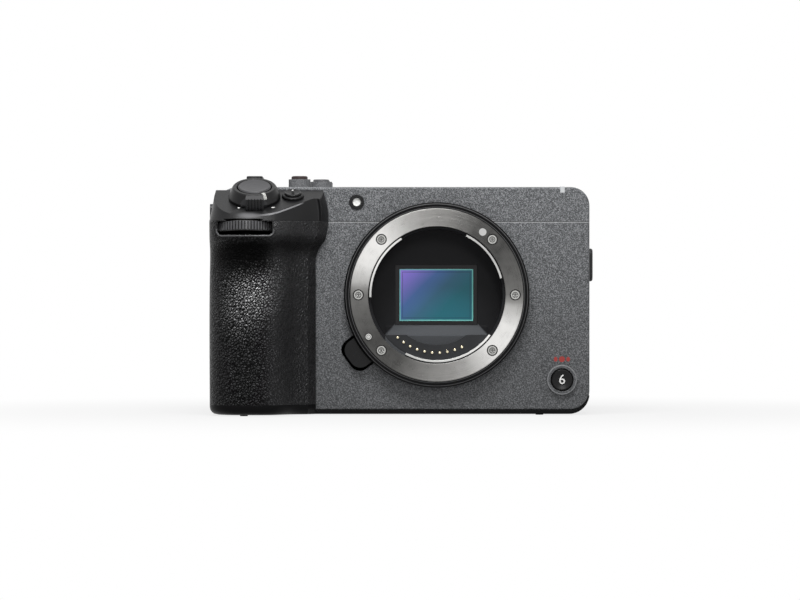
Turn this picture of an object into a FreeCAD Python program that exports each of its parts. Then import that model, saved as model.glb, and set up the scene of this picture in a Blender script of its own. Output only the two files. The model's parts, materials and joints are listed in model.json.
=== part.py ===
import FreeCAD, Part
import math
import os
import re
import Sketcher

# A compact cinema camera body without a lens, about 130 mm wide.
# Frame: X runs to the camera's left hand side as its user holds it (the port side), Z is up, and
# the lens looks along -Y. The origin is the mouth of the tripod socket, under the lens axis.

Vector = FreeCAD.Vector
Rotation = FreeCAD.Rotation

doc = FreeCAD.newDocument("cinema_camera")
dims = doc.addObject("Spreadsheet::Sheet", "dims")
nodes = []


# Driving dimensions, in millimetres and degrees

SIZES = {
    # Body block
    "port_x": 51.4,  # port side face, from the lens axis
    "side_x": -75.6,  # grip side face
    "front_y": -22,  # front face of the front cover
    "rear_y": 33,  # rear face of the rear cover
    "split_y": 9,  # joint between front and rear covers
    "top_z": 76.3,  # top face
    "seam_z": 64.6,  # joint between the top cover and the covers below
    "seam_x": -40.7,  # joint between grip and front cover
    "wall": 2,  # cover walls
    "foot_z": 1.4,  # base plate under the covers
    "lower_round": 6.9,  # bottom port side corner
    "upper_round": 6.3,  # top port side corner
    "shoulder_round": 9,  # top grip side corner
    "edge_round": 0.6,  # softened outer edges
    "axis_z": 40,  # lens axis above the base
    "room": 80,  # blocks that cut away all that lies on one side

    # Vent slots in the port side, intake slots in the base and slots of the two microphones
    "vent_low_z": 14,
    "vent_front_y": -17.4,
    "vent_back_y": -7.6,
    "vent_pitch": 2.9,
    "vent_high": 1.4,
    "intake_x": 14,
    "intake_front_y": -14,
    "intake_back_y": -3,
    "intake_pitch": 3.4,
    "intake_wide": 1.6,
    "mic_left_x": -6,
    "mic_right_x": 8,
    "mic_front_y": -17.5,
    "mic_back_y": -14.5,
    "mic_pitch": 1.6,
    "mic_slot": 0.7,

    # Screws of the base plate, and its feet
    "screw_port_x": 44,
    "screw_seam_x": -36,
    "screw_grip_x": -70.5,
    "screw_front_y": -17,
    "screw_rear_y": 28,
    "screw_r": 1.6,
    "foot_grip_x": -64.3,
    "foot_port_x": 34.7,
    "foot_heel_y": -34.4,
    "foot_front_y": -18,
    "foot_rear_y": 29.5,
    "foot_r": 1.3,
    "cross_long": 0.8,  # half of a screw's cross
    "cross_wide": 0.17,

    # Lens mount
    "flange_gap": 4.5,  # mount flange in front of the front face
    "register_r": 23.05,  # lens register radius
    "register_deep": 1.4,  # depth of the register before the claws
    "relief_r": 23.7,  # wider bore behind the register, between the claws
    "claw_r": 21.95,  # inner radius of the bayonet claws
    "ring_r": 29.1,  # outer radius of the steel ring
    "ring_thick": 2.8,  # steel ring
    "base_ring_r": 31.1,  # outer radius of the black base ring
    "mount_hole_r": 28.4,  # hole in the covers for the base ring
    "mount_screw_circle": 26.3,  # radius of the screw circle
    "mount_screw_r": 1.55,  # screw head
    "lock_pin_circle": 26.8,
    "lock_pin_angle": 211.5,
    "lock_pin_r": 1.1,
    "index_circle": 26.1,
    "index_angle": 53.9,
    "index_r": 1.25,
    "fit_gap": 0.1,  # running clearance of small moving parts
    "register_to_sensor": 18,  # flange to image plane
    "throat_r": 22.2,  # inside of the light box
    "window_wide": 27.9,  # light box window
    "window_high": 20.6,
    "light_box_y": -12,  # front of the light box's rear wall
    "tube_wall": 2.3,
    "box_wide": 62,  # rear wall of the light box
    "box_high": 48,
    "ear_x": 27.5,  # posts that hold the sensor's stage, from the lens axis
    "ear_z": 20.5,
    "ramp_wide": 34.4,  # sloped floor below the window
    "ramp_drop": 13.6,
    "ramp_deep": 3.4,
    "contact_inner_r": 16.8,
    "contact_block_start": 215,
    "contact_block_stop": 323,
    "contact_block_deep": 9,
    "contact_circle": 19.4,
    "contact_pin_r": 0.45,
    "contact_start": 227.4,
    "contact_step": 7.6,
    "contact_count": 10,

    # Lens release
    "release_angle": 216.6,
    "release_reach": 36.6,  # outer end of the release button, from the lens axis
    "release_wide": 10,
    "release_proud": 2.2,
    "release_gap": 0.8,
    "release_round": 3.6,
    "release_start": 27,  # inner end, hidden under the base ring

    # Sensor group
    "glass_wide": 25,
    "glass_high": 17.6,
    "glass_thick": 0.9,
    "package_wide": 31,
    "package_high": 24,
    "package_thick": 2,
    "carriage_wide": 40,
    "carriage_high": 32,
    "plate_thick": 1.5,
    "stage_gap": 0.4,
    "stage_margin": 4,  # each plate is this much larger than the one in front
    "post_r": 1.6,
    "carriage_window": 22,
    "window_step": 2,  # each plate's window is this much larger on each side
    "stage_wide": 60,
    "stage_high": 47,
    "ball_r": 1.2,
    "ball_x": 17,
    "ball_low_z": -12,
    "ball_high_z": 13,

    # Cooling and boards
    "sink_thick": 1.6,
    "sink_left_x": -29,
    "sink_right_x": 38,
    "sink_high": 44,
    "fin_high": 3.6,
    "fin_thick": 1,
    "fin_pitch": 5,
    "fan_x": 24,
    "fan_z": 32,
    "fan_r": 13,
    "fan_deep": 5,
    "fan_case": 32,
    "fan_hub_r": 4.6,
    "fan_blades": 9,
    "fan_arm": 1.6,
    "board_y": 16,
    "board_thick": 1.6,
    "board_left_x": -41,
    "board_right_x": 46,
    "board_low_z": 5.5,
    "board_high_z": 61,
    "socket_x": 40.4,  # inner end of the connector blocks
    "jack_r": 1.75,
    "port_line_y": 17.2,  # middle of the column of data connectors
    "port_deep": 1,  # back wall of the connectors

    # Cards and their reader
    "card_x": -70.4,
    "card_y": 16.9,
    "card_low_z": 24.4,
    "card_high_z": 45.6,
    "card_wide": 20,
    "card_long": 28,
    "card_thick": 2.8,
    "reader_wall": 1.8,

    # Battery
    "battery_x": -72.7,  # grip side face of the battery
    "battery_y": -30.2,  # front face of the battery
    "battery_z": 3,
    "battery_wide": 22.7,
    "battery_long": 38.7,
    "battery_high": 49.5,
    "battery_round": 6,
    "slack": 0.3,  # clearance round parts that slide or lift out

    # Grip sections, from the heel up: height, nose, right hand end and hollow of the flank
    "heel_z": 3.3, "heel_nose_y": -38.6, "heel_right_x": -40.7, "heel_hollow": 0.66,
    "palm_z": 19, "palm_nose_y": -40.2, "palm_right_x": -40.7, "palm_hollow": 0.66,
    "knuckle_z": 34, "knuckle_nose_y": -40.5, "knuckle_right_x": -40.7, "knuckle_hollow": 0.66,
    "finger_z": 46, "finger_nose_y": -38.6, "finger_right_x": -40.7, "finger_hollow": 0.66,
    "notch_z": 54, "notch_nose_y": -35.8, "notch_right_x": -40.4, "notch_hollow": 0.66,
    "brow_z": 58.6, "brow_nose_y": -40.4, "brow_right_x": -37.4, "brow_hollow": 0.66,
    "crown_z": 64.6, "crown_nose_y": -41.6, "crown_right_x": -36.4, "crown_hollow": 0.56,
    # Hood sections above them
    "rim_z": 67.2, "rim_nose_y": -39.6, "rim_right_x": -36.4, "rim_hollow": 0.54,
    "deck_z": 70.6, "deck_nose_y": -37.6, "deck_right_x": -36.9, "deck_hollow": 0.52,
    "peak_z": 80, "peak_nose_y": -35.4, "peak_right_x": -39.6, "peak_hollow": 0.5,
    "grip_x": -76,  # grip side of the grip
    "grip_end_y": -23.4,  # where the grip's skin meets the front face
    "skin_thick": 1.2,
    "nose_back": 14.5,  # nose line, from the grip side
    "nose_deep": 11,  # how far the grip side's round runs back from the nose
    "crown_lean": 0.17,  # the hood's side leans in by this share of its height
    "heel_round": 2.6,
    "deck_tilt": 25.5,
    "deck_edge_y": -37.6,
    "deck_edge_z": 67.8,

    # Thumb rest on the rear cover: a dome that ramps up from below and falls steeply at its top
    "thumb_left": 1.2,  # from the grip side face
    "thumb_right": 22,
    "thumb_low_z": 41,
    "thumb_high_z": 64.2,
    "thumb_proud": 9.2,
    "crest_left": 4.6,
    "crest_right": 14.6,
    "crest_low_z": 53,
    "crest_high_z": 61.4,
    "thumb_round": 3.4,

    # Zoom lever and shutter button, about the deck's own axis
    "zoom_x": -61,
    "zoom_back": 9.7,  # lever axis behind the deck's front edge, along Y
    "zoom_r": 8.7,
    "zoom_top_r": 7.4,
    "zoom_high": 4.2,
    "zoom_bore_r": 5.8,
    "tab_left": -2.6,  # grooved tab on the lever's front, from the lever's axis
    "tab_right": 3.3,
    "shutter_r": 5.5,
    "shutter_stem_r": 2,
    "iso_x": -48.2,
    "iso_back": 10.7,
    "iso_deep": 3.3,  # the sunk part of its collar

    # Dials
    "front_dial_x": -63.7,
    "front_dial_y": -32.4,
    "front_dial_z": 62.1,
    "front_dial_r": 10,
    "front_dial_high": 3.4,
    "front_dial_lean": -6,
    "dial_gap": 0.5,  # room round a dial
    "dial_mouth": 18.2,  # width of the slot in the grip
    "mouth_round": 1.3,
    "axle_r": 2,
    "rear_dial_x": -60,
    "rear_dial_y": 26.4,
    "rear_dial_z": 68.2,
    "rear_dial_r": 9.2,
    "rear_dial_high": 4.6,
    "tooth_deep": 0.35,
    "tooth_root": 0.16,  # half of a tooth gap at its bottom

    # Buttons
    "button_r": 2.75,
    "collar_r": 3.7,
    "collar_high": 2.3,
    "button_proud": 0.8,  # button above its collar
    "top_rec_x": -46.4,
    "top_rec_y": -10,
    "iris_x": -39.2,
    "iris_y": -3,
    "white_x": -39.2,
    "white_y": 9,
    "rec_collar_high": 2.9,
    "rec_proud": 1.1,
    "front_rec_x": 42.1,
    "front_rec_z": 11.5,
    "front_rec_r": 3.5,
    "front_rec_collar_r": 5,
    "front_rec_collar_high": 1.1,
    "power_x": -61.8,
    "power_y": 1,
    "power_r": 5.6,
    "power_high": 2.4,
    "power_knob_high": 1.8,
    "lamp_x": -26.9,
    "lamp_z": 71.2,
    "lamp_r": 1.3,
    "lamp_ring_r": 2.5,
    "tally_x": 42.3,
    "tally_wide": 1.5,
    "tally_high": 1.9,

    # Rear controls
    "wheel_x": -50,
    "wheel_z": 28,
    "wheel_r": 11.5,
    "wheel_bore_r": 4.4,
    "wheel_proud": 1.4,
    "stick_x": -42,
    "stick_z": 53,
    "stick_r": 3.6,
    "menu_x": -36.8,
    "menu_z": 42,
    "playback_x": -38,
    "playback_z": 12,
    "delete_x": -62,
    "delete_z": 12,

    # Screen
    "recess_deep": 5.8,
    "recess_left_x": -29.6,
    "recess_low_z": 7.5,
    "recess_high_z": 61.5,
    "hinge_x": 48.5,
    "hinge_y": 31.5,
    "hinge_r": 3.3,
    "hinge_pin_r": 1.2,
    "hinge_low_z": 22,
    "hinge_high_z": 47,
    "knuckle_long": 5.5,
    "screen_gap": 0.6,
    "screen_thick": 7,
    "screen_glass_thick": 0.8,
    "screen_border": 3,
    "screen_round": 3,

    # Doors
    "door_thick": 1.8,
    "card_door_front_y": 11.4,
    "card_door_hinge_y": 28.2,
    "card_door_low_z": 14,
    "card_door_high_z": 56,
    "audio_low_y": -2.8,
    "audio_high_y": 7.2,
    "audio_low_z": 12,
    "audio_high_z": 38,
    "data_low_y": 11.4,
    "data_high_y": 24.8,
    "data_low_z": 12,
    "data_high_z": 57,
    "door_pin_r": 0.6,
    "battery_door_hinge_x": -48.2,
    "battery_door_thick": 1.6,
    "battery_door_low_y": -31.2,
    "battery_door_high_y": 8.2,
    "battery_door_left_x": -72.9,
    "battery_door_corner": 3.4,
    "battery_hinge_corner": 6.2,

    # Shoe, bushes, lugs
    "shoe_x": 4,
    "shoe_y": 22.6,
    "shoe_wide": 21.4,
    "shoe_long": 18.6,
    "shoe_deep": 4.6,
    "shoe_slot": 12.4,
    "shoe_rail": 1.3,
    "shoe_foot": 18.7,  # width of the foot that the rails hold
    "thread_r": 3.175,  # quarter inch thread, nominal radius
    "bush_r": 4.6,
    "bush_deep": 5.5,
    "bush_a_x": -20,
    "bush_a_y": -12,
    "bush_b_x": 30,
    "bush_b_y": -8,
    "bush_c_x": 30,
    "bush_c_y": 22,
    "tripod_bush_r": 6.2,
    "tripod_deep": 8,
    "lug_proud": 1.3,
    "lug_wide": 6,
    "lug_soft": 0.7,
    "tang_wide": 2.6,  # tongue that holds a lug in its cover
    "tang_high": 2,
    "tang_drop": 6,
    "lug_low_z": 44.6,
    "lug_high_z": 55.7,
    "lug_y": -14.6,
    "grip_lug_low_z": 58.8,
    "grip_lug_high_z": 71,
    "grip_lug_y": -4,
    "pad_high": 0.35,  # small feet under the base
}

for row, (alias, value) in enumerate(SIZES.items(), 1):
    dims.set(f"A{row}", alias)
    dims.set(f"B{row}", str(value))
    dims.setAlias(f"B{row}", alias)


# Helpers that bind geometry to the sheet

def link(text):
    """Turns a plain formula such as 'top_z - wall' into an expression on the sheet."""
    return re.sub(r"[a-z_][a-z_0-9]*", lambda m: f"dims.{m.group(0)}" if m.group(0) in SIZES else m.group(0),
                  str(text))


def mm(text):
    """The present value of a formula, for choosing edges and for lofted shapes."""
    return float(dims.evalExpression(link(text)))


def bind(thing, target, text):
    thing.setExpression(target, link(text))


def rect(x0, y0, x1, y1):
    return [(x0, y0), (x1, y0), (x1, y1), (x0, y1)]


def disc(x, y, radius):
    return ("disc", x, y, radius)


def row(count, start, pitch, wide, low, high):
    """A row of equal slots along the first axis."""
    starts = [f"{start} + {i} * {pitch}" for i in range(count)]
    return [rect(begin, low, f"{begin} + {wide}", high) for begin in starts]


def plate(wide, high):
    """A rectangle about the middle."""
    return rect(f"-({wide}) / 2", f"-({high}) / 2", f"({wide}) / 2", f"({high}) / 2")


def cross(x, y):
    """The two bars of a cross recess in a screw's head."""
    return [rect(f"{x} - {a}", f"{y} - {b}", f"{x} + {a}", f"{y} + {b}")
            for a, b in (("cross_long", "cross_wide"), ("cross_wide", "cross_long"))]


def polar(radius, angle):
    """A point given by radius and angle, as two formulas."""
    return f"({radius}) * cos({angle})", f"({radius}) * sin({angle})"


PLANES = {"top": ("XY_Plane", "Z", 1), "front": ("XZ_Plane", "Y", -1), "side": ("YZ_Plane", "X", 1)}
FRONT = Rotation(Vector(1, 0, 0), 90)
REAR = Rotation(Vector(1, 0, 0), -90)


class Piece:
    """One piece of the camera: a body made of sketches and features bound to the sheet."""

    def __init__(self, name, at=(0, 0, 0), turned=None, node=True):
        self.body = doc.addObject("PartDesign::Body", name)
        self.body.Label = name
        self.name = name
        self.steps = 0
        if turned:
            self.body.Placement = FreeCAD.Placement(Vector(0, 0, 0), turned)
        for letter, text in zip("xyz", at):
            bind(self.body, f"Placement.Base.{letter}", text)
        if node:
            nodes.append((name, self.body))

    def plane(self, role):
        return next(f for f in self.body.Origin.OriginFeatures if f.Role == role)

    def sketch(self, view, loops, offset):
        """A fully constrained sketch on one of the body's planes, moved along its normal."""
        self.steps += 1
        role, _, sign = PLANES[view]
        drawn = self.body.newObject("Sketcher::SketchObject", f"{self.name}_sketch_{self.steps}")
        drawn.AttachmentSupport = (self.plane(role), [""])
        drawn.MapMode = "FlatFace"
        bind(drawn, "AttachmentOffset.Base.z", f"{sign} * ({offset})")
        for loop in loops:
            if loop[0] == "disc":
                self.draw_disc(drawn, *loop[1:])
            else:
                self.draw_loop(drawn, loop)
        return drawn

    def draw_disc(self, drawn, x, y, radius):
        number = drawn.addGeometry(Part.Circle(Vector(mm(x), mm(y), 0), Vector(0, 0, 1), mm(radius)), False)
        bind(drawn, f"Constraints[{drawn.addConstraint(Sketcher.Constraint('Radius', number, mm(radius)))}]",
             radius)
        self.fix_point(drawn, number, 3, x, y)

    def draw_loop(self, drawn, loop):
        spots = [Vector(mm(x), mm(y), 0) for x, y in loop]
        first = drawn.GeometryCount
        for i, spot in enumerate(spots):
            drawn.addGeometry(Part.LineSegment(spot, spots[(i + 1) % len(spots)]), False)
        for i in range(len(spots)):
            follower = first + (i + 1) % len(spots)
            drawn.addConstraint(Sketcher.Constraint("Coincident", first + i, 2, follower, 1))
        for i, (x, y) in enumerate(loop):
            self.fix_point(drawn, first + i, 1, x, y)

    def fix_point(self, drawn, number, end, x, y):
        for kind, text in (("DistanceX", x), ("DistanceY", y)):
            made = drawn.addConstraint(Sketcher.Constraint(kind, -1, 1, number, end, mm(text)))
            if isinstance(text, str):
                bind(drawn, f"Constraints[{made}]", text)

    def feature(self, kind, drawn):
        self.steps += 1
        made = self.body.newObject(f"PartDesign::{kind}", f"{self.name}_{kind.lower()}_{self.steps}")
        made.Profile = drawn
        return made

    def pad(self, view, loops, low, high):
        """Adds the loops, drawn on the view, from low to high along the view's axis."""
        sign = PLANES[view][2]
        made = self.feature("Pad", self.sketch(view, loops, high if sign < 0 else low))
        bind(made, "Length", f"({high}) - ({low})")
        doc.recompute()
        return self

    def pocket(self, view, loops, low, high):
        """Cuts the loops away from low to high along the view's axis."""
        before = self.body.Shape.Volume
        sign = PLANES[view][2]
        made = self.feature("Pocket", self.sketch(view, loops, high if sign < 0 else low))
        made.Reversed = True
        bind(made, "Length", f"({high}) - ({low})")
        doc.recompute()
        if self.body.Shape.Volume >= before - 1e-6:
            print("this pocket cuts nothing:", made.Name)
        return self

    def turn(self, profile):
        """Adds a profile of (radius, height) points turned about the body's own Z axis."""
        made = self.feature("Revolution", self.sketch("front", [profile], 0))
        made.ReferenceAxis = (made.Profile[0], ["V_Axis"])
        made.Angle = 360
        doc.recompute()
        return self

    def around(self, count):
        """Repeats the last feature about the body's own Z axis."""
        last = self.body.Tip
        self.steps += 1
        made = self.body.newObject("PartDesign::PolarPattern", f"{self.name}_around_{self.steps}")
        made.Originals = [last]
        made.Axis = (self.plane("Z_Axis"), [""])
        made.Angle = 360
        bind(made, "Occurrences", count)
        self.body.Tip = made
        doc.recompute()
        return self

    def soften(self, test, radius, kind="Fillet"):
        """Rounds or bevels the edges that pass a test."""
        base = self.body.Tip
        chosen = [f"Edge{i + 1}" for i, edge in enumerate(base.Shape.Edges) if test(edge)]
        if not chosen:
            print("no edges to soften on", self.name)
            return self
        self.steps += 1
        made = self.body.newObject(f"PartDesign::{kind}", f"{self.name}_{kind.lower()}_{self.steps}")
        made.Base = (base, chosen)
        bind(made, "Radius" if kind == "Fillet" else "Size", radius)
        doc.recompute()
        return self

    def round_corners(self, view, corners, radius):
        """Rounds the edges that run along the view's axis through the given corners."""
        spots = [(mm(x), mm(y)) for x, y in corners]
        axis = PLANES[view][1]

        def test(edge):
            box = edge.BoundBox
            lengths = {"X": box.XLength, "Y": box.YLength, "Z": box.ZLength}
            along = lengths.pop(axis)
            if along < 0.05 or max(lengths.values()) > 1e-4:
                return False
            middle = box.Center
            flat = {"Z": (middle.x, middle.y), "Y": (middle.x, middle.z), "X": (middle.y, middle.z)}[axis]
            return any(math.dist(flat, spot) < 0.02 for spot in spots)

        return self.soften(test, radius)


def box_part(name, low, high):
    """A plain block between two corners."""
    made = doc.addObject("Part::Box", name)
    for prop, a, b in zip(("Length", "Width", "Height"), low, high):
        bind(made, prop, f"({b}) - ({a})")
    for letter, text in zip("xyz", low):
        bind(made, f"Placement.Base.{letter}", text)
    return made


def rod_part(name, start, radius, length, turned=None, shift="0"):
    """A plain rod from a point; shift moves it along its own axis."""
    made = doc.addObject("Part::Cylinder", name)
    bind(made, "Radius", radius)
    bind(made, "Height", length)
    turned = turned or Rotation()
    made.Placement = FreeCAD.Placement(Vector(0, 0, 0), turned)
    axis = turned.multVec(Vector(0, 0, 1))
    for letter, text, share in zip("xyz", start, axis):
        bind(made, f"Placement.Base.{letter}", f"({text}) + ({share:.6f}) * ({shift})")
    return made


def cut_part(name, base, tools, node=False):
    """Base without the tools."""
    tool = tools[0]
    if len(tools) > 1:
        tool = fuse_part(f"{name}_tools", tools)
    made = doc.addObject("Part::Cut", name)
    made.Base = base
    made.Tool = tool
    if node:
        nodes.append((name, made))
    return made


def fuse_part(name, shapes, node=False):
    made = doc.addObject("Part::MultiFuse", name)
    made.Shapes = shapes
    if node:
        nodes.append((name, made))
    return made


doc.recompute()
FLANGE = "front_y - flange_gap"
MOUNT = ("0", FLANGE, "axis_z")
DECK = Rotation(Vector(1, 0, 0), mm("deck_tilt"))
LEAN = Rotation(Vector(1, 0, 0), mm("front_dial_lean"))
ZOOM_AT = ("zoom_x", "deck_edge_y + zoom_back", "deck_edge_z + zoom_back * tan(deck_tilt)")
ISO_AT = ("iso_x", "deck_edge_y + iso_back", "deck_edge_z + iso_back * tan(deck_tilt)")
FRONT_DIAL_AT = ("front_dial_x", "front_dial_y", "front_dial_z")


# Covers

def make_front_cover():
    """The front wall and the port side wall, one casting, with the raised collar of the front button."""
    part = Piece("front_casting", node=False)
    part.pad("front", [rect("seam_x", "foot_z", "port_x", "seam_z")], "front_y", "split_y")
    part.round_corners("front", [("port_x", "foot_z")], "lower_round - 0.4")
    inner = rect("seam_x - 1", "foot_z - 1", "port_x - wall", "seam_z + 1")
    part.pocket("front", [inner], "front_y + wall", "split_y + 1")
    part.soften(cover_rim, "edge_round")
    part.pad("front", [disc("front_rec_x", "front_rec_z", "front_rec_collar_r")],
             "front_y - front_rec_collar_high", "front_y + wall")
    bore = disc("front_rec_x", "front_rec_z", "front_rec_r + 0.35")
    part.pocket("front", [bore], "front_y - front_rec_collar_high - 1", "front_y + wall + 1")
    part.pocket("front", [disc(0, "axis_z", "mount_hole_r")], "front_y - 1", "front_y + wall + 1")
    slots = [[(y, z) for z, y in slot]
             for slot in row(9, "vent_low_z", "vent_pitch", "vent_high", "vent_front_y", "vent_back_y")]
    part.pocket("side", slots, "port_x - wall - 1", "port_x + 1")
    door = rect("audio_low_y - slack", "audio_low_z - slack", "audio_high_y + slack", "audio_high_z + slack")
    part.pocket("side", [door], "port_x - wall - 1", "port_x + 1")
    hinge = disc("port_x - door_thick / 2", "audio_low_y + 1.1", "door_pin_r + 0.05")
    part.pocket("top", [hinge], "audio_low_z - 2", "audio_high_z + 2")
    part.pocket("side", [lug_tang("lug_y", "lug_high_z - tang_drop")], "port_x - wall + 0.5", "port_x + 1")
    tab = release_tool("front_cover_tab", "release_gap", "front_y - 1", "front_y + wall + 1")
    cut_part("front_cover", part.body, [tab], node=True)


def cover_rim(edge):
    """The outer edges of the front and rear faces, apart from the joints between covers."""
    box = edge.BoundBox
    level = next((y for y in (mm("front_y"), mm("rear_y")) if abs(box.YMin - y) < 1e-4), None)
    if level is None or box.YLength > 1e-4:
        return False
    middle = edge.CenterOfMass
    at_bottom = box.ZLength < 1e-4 and abs(box.ZMin - mm("foot_z")) < 1e-4
    at_port = middle.x > mm("port_x - lower_round / 2") and box.XLength <= mm("lower_round") and not at_bottom
    at_grip = middle.x < mm("side_x + shoulder_round / 2") and box.XLength < mm("shoulder_round") + 0.1
    at_top = middle.z > mm("top_z") - 0.01
    level_seam = box.ZLength < 1e-4 and abs(box.ZMin - mm("seam_z")) < 1e-4
    return (at_bottom or at_port or at_grip or at_top) and not level_seam


def lug_tang(y, low):
    """The tongue that holds a strap lug in its cover."""
    return rect(f"{y} - tang_wide / 2", low, f"{y} + tang_wide / 2", f"{low} + tang_high")


def make_top_cover():
    """The lid: top, four walls, the shoe's tray and the seats of the buttons."""
    part = Piece("top_casting", node=False)
    part.pad("front", [rect("side_x", "seam_z", "port_x", "top_z")], "front_y", "rear_y")
    part.round_corners("front", [("side_x", "top_z")], "shoulder_round")
    part.round_corners("front", [("port_x", "top_z")], "upper_round")
    part.soften(cover_rim, "edge_round")
    left, right, lid = "side_x + wall", "port_x - wall", "top_z - wall"
    inner = [(left, "seam_z - 1"), (right, "seam_z - 1"), (right, f"{lid} - 0.6 * upper_round"),
             (f"{right} - 0.6 * upper_round", lid), (f"{left} + 0.6 * shoulder_round", lid),
             (left, f"{lid} - 0.6 * shoulder_round")]
    part.pocket("front", [inner], "front_y + wall", "rear_y - wall")
    part.pad("top", [rect("shoe_x - shoe_wide / 2 - wall", "shoe_y - shoe_long / 2 - wall",
                          "shoe_x + shoe_wide / 2 + wall", "rear_y - wall / 2")],
             "top_z - shoe_deep - wall", "top_z - wall / 2")
    part.pocket("top", [rect("shoe_x - shoe_wide / 2", "shoe_y - shoe_long / 2", "shoe_x + shoe_wide / 2",
                             "rear_y + 1")],
                "top_z - shoe_deep", "top_z + 1")
    part.pad("top", [disc("rear_dial_x", "rear_dial_y", "2")], "rear_dial_z - 0.5", "top_z - wall / 2")
    part.pocket("front", [rect("rear_dial_x - 8.6", "rear_dial_z - 0.3", "rear_dial_x + 8.6",
                               "rear_dial_z + rear_dial_high + 0.3")],
                "rear_y - wall - 1", "rear_y + 1")
    holes = [disc(f"bush_{n}_x", f"bush_{n}_y", "bush_r") for n in "abc"]
    holes += [disc(f"{n}_x", f"{n}_y", "collar_r") for n in ("top_rec", "iris", "white")]
    holes.append(disc("power_x", "power_y", "2.4"))
    part.pocket("top", holes, "top_z - wall - 1", "top_z + 1")
    for start in ("mic_left_x", "mic_right_x"):
        part.pocket("top", row(4, start, "mic_pitch", "mic_slot", "mic_front_y", "mic_back_y"),
                    "top_z - wall - 1", "top_z + 1")
    part.pocket("front", [disc(0, "axis_z", "mount_hole_r")], "front_y - 1", "front_y + wall + 1")
    part.pocket("front", [disc("lamp_x", "lamp_z", "lamp_ring_r")], "front_y - 1", "front_y + wall + 1")
    tally = rect("tally_x - tally_wide / 2", "top_z - tally_high", "tally_x + tally_wide / 2", "top_z + 1")
    part.pocket("front", [tally], "front_y - 1", "front_y + 1.5")
    part.pocket("side", [lug_tang("grip_lug_y", "seam_z + 0.6")], "side_x - 1", "side_x + wall - 0.5")
    scallop = rod_part("zoom_scallop", ZOOM_AT, "zoom_r + 0.8", "16", DECK, "0.05")
    cut_part("top_cover", part.body, [scallop], node=True)


def make_rear_cover():
    """The back: rear wall, side walls, the screen's recess, the control seats and two hinge knuckles."""
    part = Piece("rear_cover")
    part.pad("front", [rect("side_x", "foot_z", "port_x", "seam_z")], "split_y", "rear_y")
    part.round_corners("front", [("port_x", "foot_z")], "lower_round - 0.4")
    part.round_corners("front", [("side_x", "foot_z")], "heel_round + 0.8")
    part.soften(cover_rim, "edge_round")
    inner = rect("side_x + wall", "foot_z + wall", "port_x - wall", "seam_z + 1")
    part.pocket("front", [inner], "split_y - 1", "rear_y - wall")
    low_slab = rect("side_x + wall", "foot_z - 1", "port_x - 8", "foot_z + wall + 1")
    part.pocket("front", [low_slab], "split_y - 1", "rear_y - wall")
    part.pad("front", [rect("recess_left_x - 1.6", "recess_low_z - 1.6", "port_x - wall / 2",
                            "recess_high_z + 1.6")],
             "rear_y - recess_deep - 1.6", "rear_y - wall / 2")
    floor = rect("side_x + 2 * wall - 0.4", "foot_z + 2 * wall + 0.6", "recess_left_x - 1",
                 "seam_z - 2 * wall - 0.2")
    part.pad("front", [floor], "rear_y - 3 * wall", "rear_y - wall / 2")
    posts = [disc(x, z, "2") for x in ("board_left_x + 7", "board_right_x - 2")
             for z in ("board_low_z + 4.5", "board_high_z - 3")]
    part.pad("front", posts, "board_y + board_thick", "rear_y - 5.5")
    recess = rect("recess_left_x", "recess_low_z", "port_x + 5", "recess_high_z")
    part.pocket("front", [recess], "rear_y - recess_deep", "rear_y + 1")
    part.round_corners("front", [("recess_left_x", "recess_low_z"), ("recess_left_x", "recess_high_z")],
                       "screen_round + 0.4")
    for low, high in (("hinge_low_z - knuckle_long", "hinge_low_z"),
                      ("hinge_high_z", "hinge_high_z + knuckle_long")):
        block = rect("hinge_x - hinge_r + 0.6", "rear_y - recess_deep - 0.5", "hinge_x + 2.6", "hinge_y")
        part.pad("top", [block], low, high)
        part.pad("top", [disc("hinge_x", "hinge_y", "hinge_r")], low, high)
        part.pocket("top", [disc("hinge_x", "hinge_y", "hinge_pin_r + 0.05")], low, high)
    seats = [disc("wheel_x", "wheel_z", "wheel_r + 0.3")]
    seats += [disc(f"{n}_x", f"{n}_z", "button_r + 0.12") for n in ("menu", "playback", "delete")]
    part.pocket("front", seats, "rear_y - 3.6", "rear_y + 1")
    part.pocket("front", [disc("stick_x", "stick_z", "stick_r + 1.6")], "rear_y - 5.2", "rear_y + 1")
    door = rect("card_door_front_y - slack", "card_door_low_z - slack", "card_door_hinge_y + 1.4",
                "card_door_high_z + slack")
    part.pocket("side", [door], "side_x - 1", "side_x + wall + 0.5")
    hinge = disc("side_x + door_thick / 2", "card_door_hinge_y", "door_pin_r + 0.05")
    part.pocket("top", [hinge], "card_door_low_z - 2", "card_door_high_z + 2")
    ports = rect("data_low_y - slack", "data_low_z - slack", "data_high_y + slack", "data_high_z + slack")
    part.pocket("side", [ports], "port_x - wall - 1", "port_x + 1")
    hinge = disc("port_x - door_thick / 2", "data_high_y - 1.1", "door_pin_r + 0.05")
    part.pocket("top", [hinge], "data_low_z - 2", "data_high_z + 2")


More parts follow.
